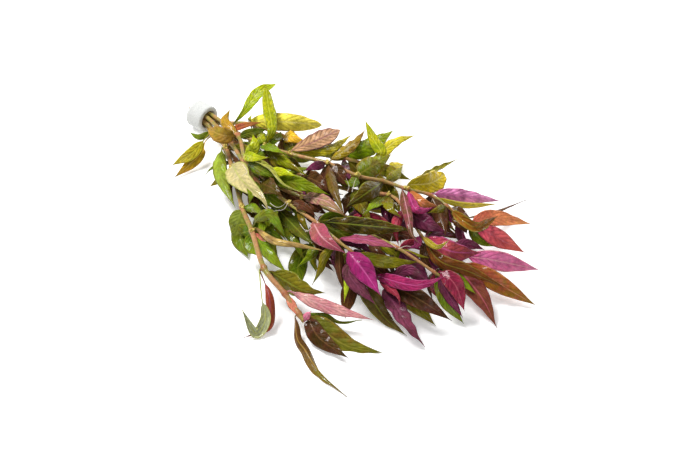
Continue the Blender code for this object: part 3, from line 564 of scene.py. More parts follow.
def stem_direction(name, joint):
    course = stem_course(name)
    at = joint + 2
    return (course[min(at + 1, len(course) - 1)] - course[at - 1]).normalized()


def stem_girth(name, share):
    """A stem's radius at this share of the way to its tip. One stem grows stouter towards it."""
    radius = STEM_RADIUS + (STEM_TIP_RADIUS - STEM_RADIUS) * share**3
    return radius * (1 + STOUT_GROWTH * share**2 if name == STOUT_STEM else 1)


def midrib(one, lift, slide):
    """A leaf's midrib, from near its stem's skin, or from inside the stem if it is young."""
    stem = stem_course(one.stem)
    root = stem[one.joint + 2]
    along = stem_direction(one.stem, one.joint)
    course = [drawn(*point) for point in one.course]
    way_out = course[0] - root
    way_out = (way_out - along * way_out.dot(along)).normalized()
    way_out -= SIGHT * max(-1, min(1, lift / LIFT_ROUND_STEM))
    way_out = (way_out - along * way_out.dot(along)).normalized()
    girth = max(STEM_RADIUS, stem_girth(one.stem, (one.joint + 2) / (len(stem) - 1)))
    reach = girth * JOINT_SWELL + 2 * GAP + LEAF_THICKNESS / 2
    root = root + along * slide + way_out * (-YOUNG_ROOT if one.is_young else reach)
    line = smooth([root, *course], MIDRIB_SPAN)
    count = len(line) - 1
    for i, point in enumerate(line):
        point -= SIGHT * lift * min(1, i / count / LIFT_START)
    return line


def half_width(share, width, stalk):
    """A spearhead outline with a drawn-out base and tip, beyond this share that is stalk."""
    widest = BASE_TAPER / (BASE_TAPER + TIP_TAPER)
    full = widest**BASE_TAPER * (1 - widest) ** TIP_TAPER
    on_blade = max(0, share - stalk) / (1 - stalk)
    spear = on_blade**BASE_TAPER * (1 - on_blade) ** TIP_TAPER / full
    least = PETIOLE_WIDTH + (TIP_WIDTH - PETIOLE_WIDTH) * share
    return max(width * spear, least) / 2


def blade(one, lift=0, turn=0, slide=0):
    """The rows of a leaf's middle surface, each of its left edge, midrib and right edge."""
    stations = CURVED_STATIONS if len(one.course) > 2 else LEAF_STATIONS
    if one.is_young and len(one.course) < 4:
        stations = YOUNG_STATIONS
    centres, directions = stations_on(midrib(one, lift, slide), stations)
    angle = math.radians(one.turn + turn)
    rows = []
    for share, centre, along in zip(stations, centres, directions):
        side = along.cross(SIGHT).normalized()
        face = side.cross(along)
        side, face = (
            side * math.cos(angle) + face * math.sin(angle),
            face * math.cos(angle) - side * math.sin(angle),
        )
        reach = half_width(share, one.width, STALKS.get(one.name, 0))
        out = side * (reach * math.cos(LEAF_FOLD))
        up = face * (reach * math.sin(LEAF_FOLD))
        row = (centre - out + up, centre, centre + out + up)
        for point in row:
            point.z = max(point.z, LEAF_THICKNESS)
        rows.append(row)
    return rows


def slab(rows, thickness):
    """The points and faces of a closed sheet of this thickness round the rows."""
    columns = len(rows[0])
    size = len(rows) * columns
    points = []
    for side in (-0.5, 0.5):
        for i, row in enumerate(rows):
            before, after = rows[max(0, i - 1)], rows[min(len(rows) - 1, i + 1)]
            for j, point in enumerate(row):
                across = row[min(columns - 1, j + 1)] - row[max(0, j - 1)]
                normal = across.cross(after[j] - before[j]).normalized()
                points.append(point + normal * (side * thickness))
    rim = [(i, i + 1) for i in range(columns - 1)]
    rim += [(i * columns + columns - 1, (i + 2) * columns - 1) for i in range(len(rows) - 1)]
    rim += [(size - 1 - i, size - 2 - i) for i in range(columns - 1)]
    rim += [((i + 1) * columns, i * columns) for i in range(len(rows) - 1)]
    faces = [(b, a, a + size, b + size) for a, b in rim]
    for i, j in itertools.product(range(len(rows) - 1), range(columns - 1)):
        a = i * columns + j
        corners = (a, a + 1, a + columns + 1, a + columns)
        faces.append(corners)
        faces.append(tuple(corner + size for corner in reversed(corners)))
    return points, faces


def stem_line(name):
    """The points of a stem's axis, straight in the cuff, with the stem's radius at each."""
    course = stem_course(name)
    line = smooth(course, STEM_SPAN)
    steps = len(STEM_SPAN)
    rings = []
    for i, point in enumerate(line):
        share = i / (len(line) - 1)
        radius = stem_girth(name, share)
        is_joint = i % steps == 0 and steps < i < len(line) - 1
        if i == 0 or i >= steps:
            rings.append((point, radius * JOINT_SWELL if is_joint else radius))
    return rings


def tube(rings, clearance):
    """The points and faces of a plain tube round a stem."""
    sides = 6
    points, faces = [], []
    for i, (point, radius) in enumerate(rings):
        before, after = rings[max(0, i - 1)][0], rings[min(len(rings) - 1, i + 1)][0]
        along = (after - before).normalized()
        out = along.orthogonal().normalized() if i == 0 else (out - along * out.dot(along)).normalized()
        other = along.cross(out)
        for j in range(sides):
            angle = math.tau * j / sides
            reach = out * math.cos(angle) + other * math.sin(angle)
            points.append(point + reach * (radius + clearance))
            if i:
                a, b = (i - 1) * sides + j, (i - 1) * sides + (j + 1) % sides
                faces.append((a, b, b + sides, a + sides))
    return points, faces


def room_of(tree_data):
    """A surface to test for overlaps, with its lowest and highest corners."""
    points = tree_data[0]
    low = [min(point[axis] for point in points) for axis in range(3)]
    high = [max(point[axis] for point in points) for axis in range(3)]
    return BVHTree.FromPolygons(*tree_data), low, high


def meet(one, other):
    tree, low, high = one
    other_tree, other_low, other_high = other
    if any(a > b for a, b in zip(low, other_high)) or any(a > b for a, b in zip(other_low, high)):
        return False
    return bool(tree.overlap(other_tree))


def settled():
    """How far each leaf is lifted, turned and moved along its stem to lie on those before it."""
    centre = cuff_centre()
    ends = [(centre + Vector((side * CUFF_LENGTH / 2, 0, 0)), CUFF_RADIUS) for side in (-1, 1)]
    placed = [("cuff", True, room_of(tube(ends, 0)))]
    for name in STEMS:
        placed.append((name, True, room_of(tube(stem_line(name), 0))))
    changes = sorted(
        itertools.product(LIFTS, TURNS, SLIDES),
        key=lambda change: (
            change[0] + abs(change[1]) * TURN_COST + abs(change[2]) * SLIDE_COST,
            change,
        ),
    )
    few_changes = list(itertools.product(LIFTS[:FILL_LIFTS], TURNS[:FILL_TURNS], (0,)))
    found = {}
    for one in ALL_LEAVES:
        owner = one.stem if one.is_young else one.name
        is_extra = one not in LEAVES
        for lift, turn, slide in few_changes if is_extra else changes:
            change = (-lift if one.is_inner else lift, turn, slide)
            rows = blade(one, *change)[1 if is_extra else 0 :]
            room = room_of(slab(rows, LEAF_THICKNESS + 2 * GAP))
            if not any(
                meet(room, other_room)
                for other, is_stem, other_room in placed
                if other != owner or (is_extra and not is_stem)
            ):
                found[one.name] = change
                placed.append((owner, False, room_of(slab(rows, LEAF_THICKNESS))))
                break
        else:
            if not is_extra:
                raise ValueError(f"{one.name} finds no free place")
    return found


# Small inner leaves fill the heap: pairs at each joint, shorter towards the stem's tip, each
# pair at its own depth under the top of the heap.
FILL_DEPTHS = ((2, 7), (2, 7), (7, 13), (12, 18))
FILL_LENGTHS = (46, 26)
FILL_SLENDER = 0.27
FILL_SPREAD = (14, 62)
FILL_SLOTS = (
    (300, ("green", "olive", "green", "brown")),
    (390, ("olive", "brown", "green", "mauve")),
    (700, ("brown", "mauve", "crimson", "olive", "magenta")),
)
FILL_MARGIN = 14
FILL_LEFT = 226
# The joints of a stem that bear fill leaves, where not all do.
FILL_JOINTS = {"front_stem": (1, 4)}
FILL_LIFTS = 18
FILL_TURNS = 5


# Inner leaves that fill the deepest gaps, besides those pairs.
GAP_LEAVES = (
    inner("gap_1", "upper_stem", 1, 8, 0, "green", (273, 139, 0), (281, 131, -2)),
    inner("gap_2", "upper_stem", 1, 7, 0, "lime", (262, 141, -2), (257, 131, -3)),
    inner("gap_3", "long_stem", 3, 9, 0, "brown", (313, 206, -6), (328, 215, -10)),
    inner("gap_4", "upper_stem", 3, 10, 0, "brown", (337, 172, -4), (349, 187, -8)),
    inner("gap_5", "upper_stem", 4, 9, 0, "olive", (349, 181, -6), (335, 177, -8)),
    inner("gap_6", "right_stem", 2, 9, 0, "brown", (348, 201, -6), (344, 216, -8)),
    inner("gap_7", "long_stem", 5, 10, 0, "brown", (393, 233, -6), (418, 238, -8)),
    inner("gap_8", "right_stem", 4, 9, 0, "mauve", (402, 225, -6), (395, 242, -8)),
    inner("gap_9", "front_stem", 4, 7, 0, "green", (263, 247, -6), (270, 264, -8)),
    inner("gap_10", "back_stem", 2, 8, 0, "olive", (329, 151, 0), (341, 149, -1)),
)


def fill_leaves():
    """Pairs of small leaves that fit in the heap, tucked under the large ones."""
    found = list(GAP_LEAVES)
    for name, joints in STEMS.items():
        first, last = FILL_JOINTS.get(name, (0, len(joints)))
        for number, (joint, ahead) in enumerate(zip(joints, joints[1:])):
            if not first <= number <= last:
                continue
            heading = math.atan2(ahead[1] - joint[1], ahead[0] - joint[0])
            for side, depth in itertools.product((-1, 1), FILL_DEPTHS):
                label = f"{name}_inner_{number}_{len(found)}"
                draw = random.Random(label)
                share = number / len(joints)
                length = FILL_LENGTHS[0] + (FILL_LENGTHS[1] - FILL_LENGTHS[0]) * share
                length *= draw.uniform(0.8, 1.15)
                way = heading + side * math.radians(draw.uniform(*FILL_SPREAD))
                bend = way + side * 0.3
                half = (joint[0] + length / 2 * math.cos(bend), joint[1] + length / 2 * math.sin(bend))
                tip = (joint[0] + length * math.cos(way), joint[1] + length * math.sin(way))
                (foot,) = between(FOOT, tip[0])
                crest = between(RIDGE, tip[0])[0]
                if tip[0] < FILL_LEFT or not crest - 2 < tip[1] < foot - FILL_MARGIN:
                    continue
                slots = next(slots for limit, slots in FILL_SLOTS if tip[0] < limit)
                drop = draw.uniform(*depth)
                course = ((*half, -drop), (*tip, -drop - 4))
                width = length * FILL_SLENDER * 0.62
                turn = draw.uniform(-30, 30)
                slot = draw.choice(slots)
                found.append(Leaf(label, name, number, width, turn, slot, course, True, True))
    return found


# Colours are written as they look on a screen, and turned into light when they are used.
class Look(NamedTuple):
    """The colours of one kind of leaf: its upper side at the base and at the tip, its underside,
    its veins, its margin, and the flush that spreads over it in patches."""

    base: str
    tip: str
    under: str
    vein: str
    margin: str
    flush: str


LOOKS = {
    "lime": Look("6E8A08", "AEB60A", "B4B84C", "C8CC40", "9A9C14", "C4B81A"),
    "green": Look("42600A", "74880E", "8A963C", "8E9A30", "6E5A18", "6A5212"),
    "olive": Look("4E5406", "84800C", "8E8A36", "9A9038", "7E4A18", "6E3A14"),
    "yellow": Look("CCBC2C", "E2CC4C", "D8C868", "E8DA80", "B8902C", "A89C1C"),
    "ochre": Look("AA8A1C", "9C7418", "B0904A", "C09C4C", "884614", "727010"),
    "brown": Look("443410", "522E16", "6E5234", "7E5A34", "5A3016", "5E2624"),
    "beige": Look("8E9A34", "A8A04A", "CDBB8A", "A8B04A", "9CA83C", "BBA070"),
    "pink": Look("CC5E80", "E088A0", "D09898", "E8ACB2", "C04A68", "AA3664"),
    "magenta": Look("8A2450", "AC3A6C", "A05C78", "D060A0", "7A1E3C", "5E0E3A"),
    "crimson": Look("8A1C3C", "AE3A46", "905050", "C05C6C", "8A4020", "6A1E30"),
    "orange": Look("C44E38", "C4863C", "B47850", "D88C64", "A8641E", "A0303A"),
    "mauve": Look("4A2030", "7A2C50", "74505C", "8E4A68", "521A26", "44301A"),
}


class Form(NamedTuple):
    """What makes a leaf's shape its own: the share of its length that is stalk, how steeply its
    halves hang from the midrib, how far they roll on from there and how far the blade twists
    from base to tip, all in degrees, how strongly its margin waves, and how slowly it widens
    from its base and narrows to its tip."""

    stalk: float = 0.0
    fold: float = 15.0
    roll: float = 0.0
    twist: float = 0.0
    wave: float = 1.0
    base: float = BASE_TAPER
    point: float = 1.4


FORMS = {
    "lime_arched_leaf": Form(fold=10, roll=-30, twist=25, base=1.5, point=0.9),
    "lime_tall_leaf": Form(fold=8, roll=14, twist=-12, base=0.6, point=0.5),
    "lime_upright_leaf": Form(fold=12, roll=10, base=0.9, point=1.2),
    "yellow_back_leaf": Form(fold=8, roll=18, base=0.6, point=0.6),
    "green_back_leaf": Form(fold=10, roll=14, base=0.8, point=1.3),
    "olive_broad_leaf": Form(fold=8, roll=20, twist=10, base=0.8, point=1.5),
    "olive_yellow_leaf": Form(fold=6, roll=-24, base=0.8, point=0.7),
    "ochre_left_leaf": Form(stalk=0.34, fold=8, roll=24, twist=14),
    "lime_left_leaf": Form(stalk=0.4, fold=10, roll=-16),
    "hanging_cup_leaf": Form(stalk=0.4, fold=4, roll=50, wave=0.6, base=0.8, point=1.2),
    "hanging_mauve_leaf": Form(stalk=0.2, fold=22, roll=44, wave=0.8),
    "magenta_leaf": Form(fold=14, roll=10, base=1.1, point=1.7),
    "twisted_leaf": Form(fold=30, roll=40, twist=150, wave=0.8),
    "pale_rolled_leaf": Form(fold=-30, roll=-70, twist=30),
    "rolled_olive_leaf": Form(fold=-16, roll=-50, twist=-30),
    "olive_cup_leaf": Form(stalk=0.1, fold=-16, roll=-40),
    "magenta_slim_leaf": Form(fold=12, roll=-20, twist=-30),
    "magenta_low_leaf": Form(fold=14, roll=-16, twist=24),
    "mauve_upper_leaf": Form(fold=14, roll=-24, point=0.8),
    "hanging_pink_leaf": Form(fold=18, roll=20, twist=14),
    "slim_olive_leaf": Form(fold=30, roll=10),
    "brown_front_leaf": Form(fold=24, roll=-20, twist=-14, base=0.8),
    "olive_front_leaf": Form(fold=8, roll=12, base=0.7),
    "pink_heart_leaf": Form(fold=14, roll=12, base=0.7, point=1.5),
    "branch_olive_leaf": Form(fold=24, roll=30, twist=50),
    "beige_leaf": Form(fold=-10, roll=24, wave=0.7, base=0.6, point=1.6),
    "arched_green_leaf": Form(stalk=0.16, fold=16, roll=20),
    "dark_thin": Form(fold=30, roll=40, twist=120),
    "brown_drop": Form(fold=34, roll=20),
    "drop_olive": Form(fold=24, roll=10),
}

# The upper side's colours at the base and tip, and the underside's where it shows, of each leaf
# that isn't quite the colour of its kind. Each was made lighter or darker until the leaf looked as
# bright as it should under these lamps, so besides the leaf's own colour some tints hold painted
# light and some painted shade.
TINTS = {
    "lime_arched_leaf": ("668906", "B9C707"),
    "lime_tall_leaf": ("7B8802", "9CA002"),
    "lime_left_leaf": ("82851A", "BDA41E"),
    "lime_under_leaf": ("7E7C03", "B79E03"),
    "lime_upright_leaf": ("677E06", "A1A508"),
    "yellow_back_leaf": ("FCF24C", "F6E25A"),
    "ochre_left_leaf": ("D3A620", "C18F1E"),
    "green_back_leaf": ("608202", "9CAB03"),
    "green_shine_leaf": ("4C6907", "82910B"),
    "green_gloss_leaf": ("3A4D14", "616618"),
    "left_drop_leaf": ("9AB033", "95AE3C"),
    "bitten_leaf": ("5C6214", "97841B"),
    "green_edged_leaf": ("414520", "715A29"),
    "dark_long_leaf": ("221E04", "382E06"),
    "green_drape_leaf": ("443702", "564603"),
    "olive_broad_leaf": ("5C6B02", "9CA303"),
    "olive_hook_leaf": ("5C6902", "99A103"),
    "olive_pointed_leaf": ("98870F", "A07715"),
    "olive_front_leaf": ("5F5F19", "7D7C1E"),
    "olive_long_leaf": ("683713", "7D4615"),
    "olive_cup_leaf": ("754B15", "BA7520"),
    "olive_yellow_leaf": ("A3950E", "F2CF21"),
    "rolled_olive_leaf": ("9C9929", "9A9325"),
    "brown_olive_leaf": ("5B5317", "4C3F0E"),
    "brown_front_leaf": ("412911", "4E3E11"),
    "brown_spread_leaf": ("3A3012", "482B19"),
    "slim_olive_leaf": ("614B0D", "736016"),
    "branch_olive_leaf": ("D0AE62", "C4A75C"),
    "arched_green_leaf": ("8C9828", "4E7A08"),
    "pale_rolled_leaf": ("928F6B", "A99C81"),
    "twisted_leaf": ("61281B", "7B6D29"),
    # pink_upper_leaf is painted about three times lighter than its magenta kind: part of that is painted
    # light, for the light it doesn't catch from the key lamp.
    "pink_upper_leaf": ("E47CBA", "F0A4CC"),
    "pink_long_leaf": ("DC60A0", "F090B4"),
    "pink_heart_leaf": ("A56651", "9D3856"),
    "pale_pink_leaf": ("AE997A", "A2864C"),
    "pink_front_leaf": ("E0ACA0", "D89190"),
    "hanging_pink_leaf": ("6A4320", "62491E"),
    "magenta_leaf": ("96205E", "B02E7C"),
    "magenta_slim_leaf": ("994459", "B15E6C"),
    "magenta_low_leaf": ("961E4E", "B23068"),
    "magenta_broad_leaf": ("A12E4F", "B95848"),
    "crimson_leaf": ("D54871", "DA6F50"),
    "crimson_low_leaf": ("7A1638", "A02C48"),
    "red_brown_leaf": ("702E2D", "784729"),
    "maroon_leaf": ("8B4216", "8B7116"),
    "orange_leaf": ("FC705F", "EFAB64"),
    "mauve_dark_leaf": ("583739", "923F60"),
    "mauve_upper_leaf": ("D5A676", "DAA681"),
    "purple_leaf": ("752B56", "8F4558"),
    "hanging_cup_leaf": ("9C995F", "BAAF83", "AEB68E"),
    "hanging_mauve_leaf": ("9E3828", "A25332"),
    "right_4": ("8C6A30", "B0A61E"),
    "upper_7": ("A8602C", "C88046"),
    "front_5": ("CC8060", "D48E70"),
    "front_3": ("C87A5E", "D08C6C"),
    "middle_3": ("6C8A14", "A8B828"),
    "back_1": ("A07828", "A88018"),
    "tan_folded": ("9A7026", "B08C34"),
    "back_3": ("E0B42C", "D8A428"),
    "yellow_far": ("D8D024", "D6C62C"),
}


def seen_colour(text):
    """A screen colour, written in six digits, as linear light."""
    levels = [int(text[i : i + 2], 16) / 255 for i in (0, 2, 4)]
    light = [v / 12.92 if v <= 0.04045 else ((v + 0.055) / 1.055) ** 2.4 for v in levels]
    return (*light, 1.0)


class BunchSettings(bpy.types.PropertyGroup):
    """The sizes and colours that a user would change."""

    leaf_thickness: bpy.props.FloatProperty(
        name="Leaf thickness",
        description="Thickness of a leaf beside its midrib",
        default=0.42 * MM,
        min=0.1 * MM,
        max=0.6 * MM,
        unit="LENGTH",
    )
    ruffle: bpy.props.FloatProperty(
        name="Ruffle",
        description="How far a leaf's margin waves up and down",
        default=0.55 * MM,
        min=0,
        max=1.5 * MM,
        unit="LENGTH",
    )
    leaf_steps: bpy.props.IntProperty(
        name="Steps along a leaf",
        description="Rows of faces along a large leaf",
        default=52,
        min=12,
        max=120,
    )
    stem_sides: bpy.props.IntProperty(
        name="Stem sides",
        description="Faces round a stem",
        default=14,
        min=6,
        max=32,
    )
    bud_size: bpy.props.FloatProperty(
        name="Bud size",
        description="Length of one papery scale of a bud",
        default=2.2 * MM,
        min=0.3 * MM,
        max=4 * MM,
        unit="LENGTH",
    )
    rootlet_radius: bpy.props.FloatProperty(
        name="Rootlet radius",
        description="Radius of a white rootlet",
        default=0.16 * MM,
        min=0.05 * MM,
        max=0.5 * MM,
        unit="LENGTH",
    )
    gloss: bpy.props.FloatProperty(
        name="Wetness",
        description="Strength of the wet film on the leaves",
        default=0.3,
        min=0,
        max=1,
        subtype="FACTOR",
    )
    stem_colour: bpy.props.FloatVectorProperty(
        name="Stem colour",
        description="Colour of the stems between their joints",
        default=seen_colour("B48258"),
        size=4,
        min=0,
        max=1,
        subtype="COLOR",
    )
    foam_colour: bpy.props.FloatVectorProperty(
        name="Foam colour",
        description="Colour of the cuff",
        default=seen_colour("D2D3D0"),
        size=4,
        min=0,
        max=1,
        subtype="COLOR",
    )
    floor_colour: bpy.props.FloatVectorProperty(
        name="Floor colour",
        description="Colour of the floor",
        default=seen_colour("F8F8F8"),
        size=4,
        min=0,
        max=1,
        subtype="COLOR",
    )


class Field:
    """A number that varies over a surface, for writing shader maths as ordinary sums."""

    def __init__(self, tree, socket):
        self.tree = tree
        self.socket = socket

    def math(self, operation, *others, swap=False, clamp=False):
        node = self.tree.nodes.new("ShaderNodeMath")
        node.operation = operation
        node.use_clamp = clamp
        terms = [self, *others]
        if swap:
            terms.reverse()
        for socket, term in zip(node.inputs, terms):
            if isinstance(term, Field):
                self.tree.links.new(term.socket, socket)
            else:
                socket.default_value = term
        return Field(self.tree, node.outputs[0])

    def __add__(self, other):
        return self.math("ADD", other)

    def __radd__(self, other):
        return self.math("ADD", other)

    def __sub__(self, other):
        return self.math("SUBTRACT", other)

    def __rsub__(self, other):
        return self.math("SUBTRACT", other, swap=True)

    def __mul__(self, other):
        return self.math("MULTIPLY", other)

    def __rmul__(self, other):
        return self.math("MULTIPLY", other)

    def __truediv__(self, other):
        return self.math("DIVIDE", other)

    def __pow__(self, other):
        return self.math("POWER", other)

    def __abs__(self):
        return self.math("ABSOLUTE")


class Finish:
    """A material while its nodes are being placed."""

    def __init__(self, name):
        self.material = bpy.data.materials.new(name)
        self.material.use_nodes = True
        self.tree = self.material.node_tree
        self.tree.nodes.clear()

    def node(self, kind, settings, sockets, output=0):
        """Adds a node: its settings first, then the values or links of its sockets."""
        node = self.tree.nodes.new(kind)
        for name, value in settings.items():
            if name == "stops":
                ramp = node.color_ramp
                ramp.elements.remove(ramp.elements[-1])
                for i, (place, colour) in enumerate(value):
                    stop = ramp.elements[0] if i == 0 else ramp.elements.new(place)
                    stop.position = place
                    stop.color = colour
            else:
                setattr(node, name, value)
        for name, value in sockets.items():
            if isinstance(value, Field):
                self.tree.links.new(value.socket, node.inputs[name])
            else:
                node.inputs[name].default_value = value
        return Field(self.tree, node.outputs[output]) if node.outputs else None

    def place(self):
        """The place on the object, in metres."""
        return self.node("ShaderNodeTexCoord", {}, {}, "Object")

    def attribute(self, name, output="Fac"):
        return self.node("ShaderNodeAttribute", {"attribute_name": name}, {}, output)

    def parts_of(self, vector):
        node = self.tree.nodes.new("ShaderNodeSeparateXYZ")
        self.tree.links.new(vector.socket, node.inputs[0])
        return [Field(self.tree, socket) for socket in node.outputs]

    def noise(self, vector, scale, detail=3.0, roughness=0.55):
        settings = {"noise_dimensions": "3D"}
        sockets = {"Vector": vector, "Scale": scale, "Detail": detail, "Roughness": roughness}
        return self.node("ShaderNodeTexNoise", settings, sockets, "Fac")

    def soft_step(self, value, low, high, start=0.0, end=1.0):
        """Goes smoothly from start to end as the value goes from low to high."""
        return self.node(
            "ShaderNodeMapRange",
            {"interpolation_type": "SMOOTHSTEP", "clamp": True},
            {"Value": value, "From Min": low, "From Max": high, "To Min": start, "To Max": end},
        )

    def blend(self, factor, first, second):
        """The first colour where the factor is 0, and the second where it is 1."""
        return self.node(
            "ShaderNodeMix", {"data_type": "RGBA"}, {0: factor, 6: first, 7: second}, 2
        )

    def bump(self, height, distance, strength=1.0, normal=None):
        sockets = {"Height": height, "Distance": distance, "Strength": strength}
        if normal is not None:
            sockets["Normal"] = normal
        return self.node("ShaderNodeBump", {}, sockets)

    def surface(self, sockets):
        shader = self.node("ShaderNodeBsdfPrincipled", {}, sockets)
        self.node("ShaderNodeOutputMaterial", {}, {"Surface": shader})
        return self.material


def leaf_finish(name, look, wetness):
    """A leaf in its own two tints, flushed in patches, with pale veins that sink into its
    upper side and stand out underneath."""
    finish = Finish(name)
    spot = finish.node("ShaderNodeUVMap", {"uv_map": "blade"}, {})
    across, along, _ = finish.parts_of(spot)
    out = abs(across - 0.5) * 2
    place = finish.place()
    underside = finish.attribute("underside")

    patches = finish.noise(place, 110.0, 3.0)
    mottle = finish.noise(place, 420.0, 4.0, 0.65)
    grain = finish.noise(place, 1500.0, 2.0)

    lateral = (along - out * 0.17 - out * out * 0.05) * 9 + mottle * 0.22
    stripe = abs(lateral.math("FRACT") - 0.5) * 2
    side_vein = finish.soft_step(stripe, 0.84, 0.99) * finish.soft_step(out, 1.0, 0.6)
    midrib = finish.soft_step(out, 0.11, 0.02)
    by_midrib = finish.soft_step(out, 0.5, 0.1)
    margin = finish.soft_step(out, 0.7, 0.96)
    rim = finish.soft_step(out, 0.86, 0.93)
    net = finish.node(
        "ShaderNodeTexVoronoi",
        {"feature": "DISTANCE_TO_EDGE"},
        {"Vector": place, "Scale": 900.0},
        "Distance",
    )
    netting = finish.soft_step(net, 0.08, 0.0)

    tint = finish.blend(
        underside, finish.attribute("upper_tint", "Color"), finish.attribute("under_tint", "Color")
    )
    flush = finish.soft_step(patches + mottle * 0.35, 0.58, 0.86) * (0.55 - underside * 0.3)
    flushed = finish.blend(flush, tint, seen_colour(look.flush))
    margined = finish.blend(margin * (0.5 - underside * 0.25), flushed, seen_colour(look.margin))
    toned = finish.node(
        "ShaderNodeHueSaturation",
        {},
        {
            "Value": finish.soft_step(mottle, 0.28, 0.74, 0.74, 1.22)
            * (1.06 - by_midrib * 0.16)
            * finish.soft_step(stripe, 0.0, 0.9, 1.05, 0.95),
            "Color": margined,
        },
    )
    lines = side_vein * 0.2 + netting * 0.05 + midrib * 0.55 + rim * 0.45
    colour = finish.blend(lines.math("MINIMUM", 0.85), toned, seen_colour(look.vein))

    sink = 1 - 2 * underside
    quilt = finish.soft_step(stripe, 0.95, 0.2) * finish.soft_step(out, 0.0, 0.25)
    relief = (quilt * 0.3 - side_vein * 0.25 - netting * 0.1) * sink + mottle * 0.3 + grain * 0.06
    film = finish.soft_step(finish.noise(place, 190.0, 3.0), 0.40, 0.62)
    beads = finish.node(
        "ShaderNodeTexVoronoi",
        {"feature": "F1"},
        {"Vector": place, "Scale": 520.0},
        "Distance",
    )
    bead = finish.soft_step(beads, 0.3, 0.18) * finish.soft_step(patches, 0.54, 0.62)
    return finish.surface(
        {
            "Base Color": colour,
            "Roughness": 0.40 - film * 0.18 + grain * 0.06 + underside * 0.12,
            "Specular IOR Level": 0.07,
            "Coat Weight": (film * wetness + bead * 0.9).math("MINIMUM", 1.0),
            "Coat Roughness": 0.08,
            "Normal": finish.bump(relief + bead * 0.5, 0.8 * MM, 0.8),
        }
    )


def stem_finish(colour):
    """A ribbed stem, pale pinkish brown between joints that are redder and wet."""
    finish = Finish("stem_skin")
    place = finish.place()
    joint = finish.attribute("joint")
    patches = finish.noise(place, 120.0, 3.0)
    streaks = finish.noise(place, 700.0, 4.0, 0.7)
    base = finish.blend(finish.soft_step(patches, 0.35, 0.7), colour, seen_colour("8E8A3C"))
    base = finish.blend(joint * 0.55, base, seen_colour("A0503C"))
    toned = finish.node(
        "ShaderNodeHueSaturation",
        {},
        {"Value": finish.soft_step(streaks, 0.3, 0.72, 0.72, 1.2), "Color": base},
    )
    return finish.surface(
        {
            "Base Color": toned,
            "Roughness": 0.34 + streaks * 0.2,
            "Specular IOR Level": 0.15,
            "Coat Weight": finish.soft_step(patches, 0.4, 0.6) * 0.3,
            "Coat Roughness": 0.12,
            "Normal": finish.bump(streaks, 0.3 * MM, 0.6),
        }
    )


def foam_finish(colour):
    """White foam with open cells, their hollows painted a darker grey as shade, and a few shallow dents.
    """
    finish = Finish("white_foam")
    place = finish.place()
    cells = finish.node(
        "ShaderNodeTexVoronoi",
        {"feature": "SMOOTH_F1"},
        {"Vector": place, "Scale": 1500.0, "Smoothness": 0.4},
        "Distance",
    )
    dents = finish.noise(place, 160.0, 3.0)
    # Painted shade: the hollow middle of each open cell is blended towards grey.
    shaded = finish.blend(
        finish.soft_step(cells, 0.75, 0.2) * 0.35, colour, seen_colour("A9ACAB")
    )
    return finish.surface(
        {
            "Base Color": shaded,
            "Roughness": 0.85,
            "Specular IOR Level": 0.25,
            "Normal": finish.bump(cells + dents * 1.5, 0.5 * MM, 0.7),
        }
    )


def plain_finish(name, colour, other, scale, roughness, relief):
    """A finish of two near colours in patches, with fine relief."""
    finish = Finish(name)
    place = finish.place()
    patches = finish.noise(place, scale, 3.0)
    return finish.surface(
        {
            "Base Color": finish.blend(finish.soft_step(patches, 0.35, 0.65), colour, other),
            "Roughness": roughness + patches * 0.1,
            "Normal": finish.bump(patches, relief * MM, 0.6),
        }
    )


def floor_finish(colour):
    """A matt white floor, lit a little from below like a light table."""
    finish = Finish("white_floor")
    return finish.surface(
        {
            "Base Color": colour,
            "Roughness": 0.9,
            "Specular IOR Level": 0.1,
            "Emission Color": (1, 1, 1, 1),
            "Emission Strength": 0.28,
        }
    )


# The model's frame: the plan is moved so that its cuff lies where the cuff's solid does.
def plan_shift():
    low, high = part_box("cuff")
    middle = cuff_centre()
    return Vector(((low[0] + high[0]) / 2 - middle.x * MM, (low[1] + high[1]) / 2 - middle.y * MM, 0))


SHIFT = plan_shift()
ALL_LEAVES = (*LEAVES, *fill_leaves())
CHANGES = settled()
SEEDS = {one.name: number for number, one in enumerate(ALL_LEAVES, 1)}
YOUNG_LIGHT = 1.3
STALK_RADIUS = 0.55
POINT_RADIUS = 0.12
STALK_FLARE = 0.13
FLOOR_GAP = 0.05
CEILING = cad_box[1][2] / MM + 1


def placed_point(point):
    return point * MM + SHIFT


def new_object(name, points, faces):
    mesh = bpy.data.meshes.new(name)
    mesh.from_pydata([placed_point(point) for point in points], [], faces)
    mesh.update()
    thing = bpy.data.objects.new(name, mesh)
    bpy.context.scene.collection.objects.link(thing)
    return thing


def wave(seed, place):
    """A smooth number between -1 and 1 that is the same for the same seed and place."""
    return noise.noise(Vector((seed * 7.31, place, seed * 1.7)))


def margin_reach(share, one, form):
    """Half of a blade's width: a stalk, then a spearhead with a drawn-out tip."""
    widest = form.base / (form.base + form.point)
    full = widest**form.base * (1 - widest) ** form.point
    on_blade = max(0, share - form.stalk) / (1 - form.stalk)
    spear = on_blade**form.base * max(0, 1 - on_blade) ** form.point / full
    stalk = STALK_RADIUS * (1 - share) + POINT_RADIUS * share
    rise = min(1, on_blade / STALK_FLARE)
    rise = rise * rise * (3 - 2 * rise)
    return max(stalk, one.width / 2 * spear * rise)


def form_of(one, seed):
    """The leaf's own form, or one drawn at random round the usual."""
    if one.name in FORMS:
        return FORMS[one.name]
    draw = random.Random(seed)
    return Form(
        stalk=0.05,
        fold=draw.uniform(6, 22),
        roll=draw.uniform(-34, 26),
        twist=draw.uniform(-22, 22),
        wave=draw.uniform(0.7, 1.5),
    )


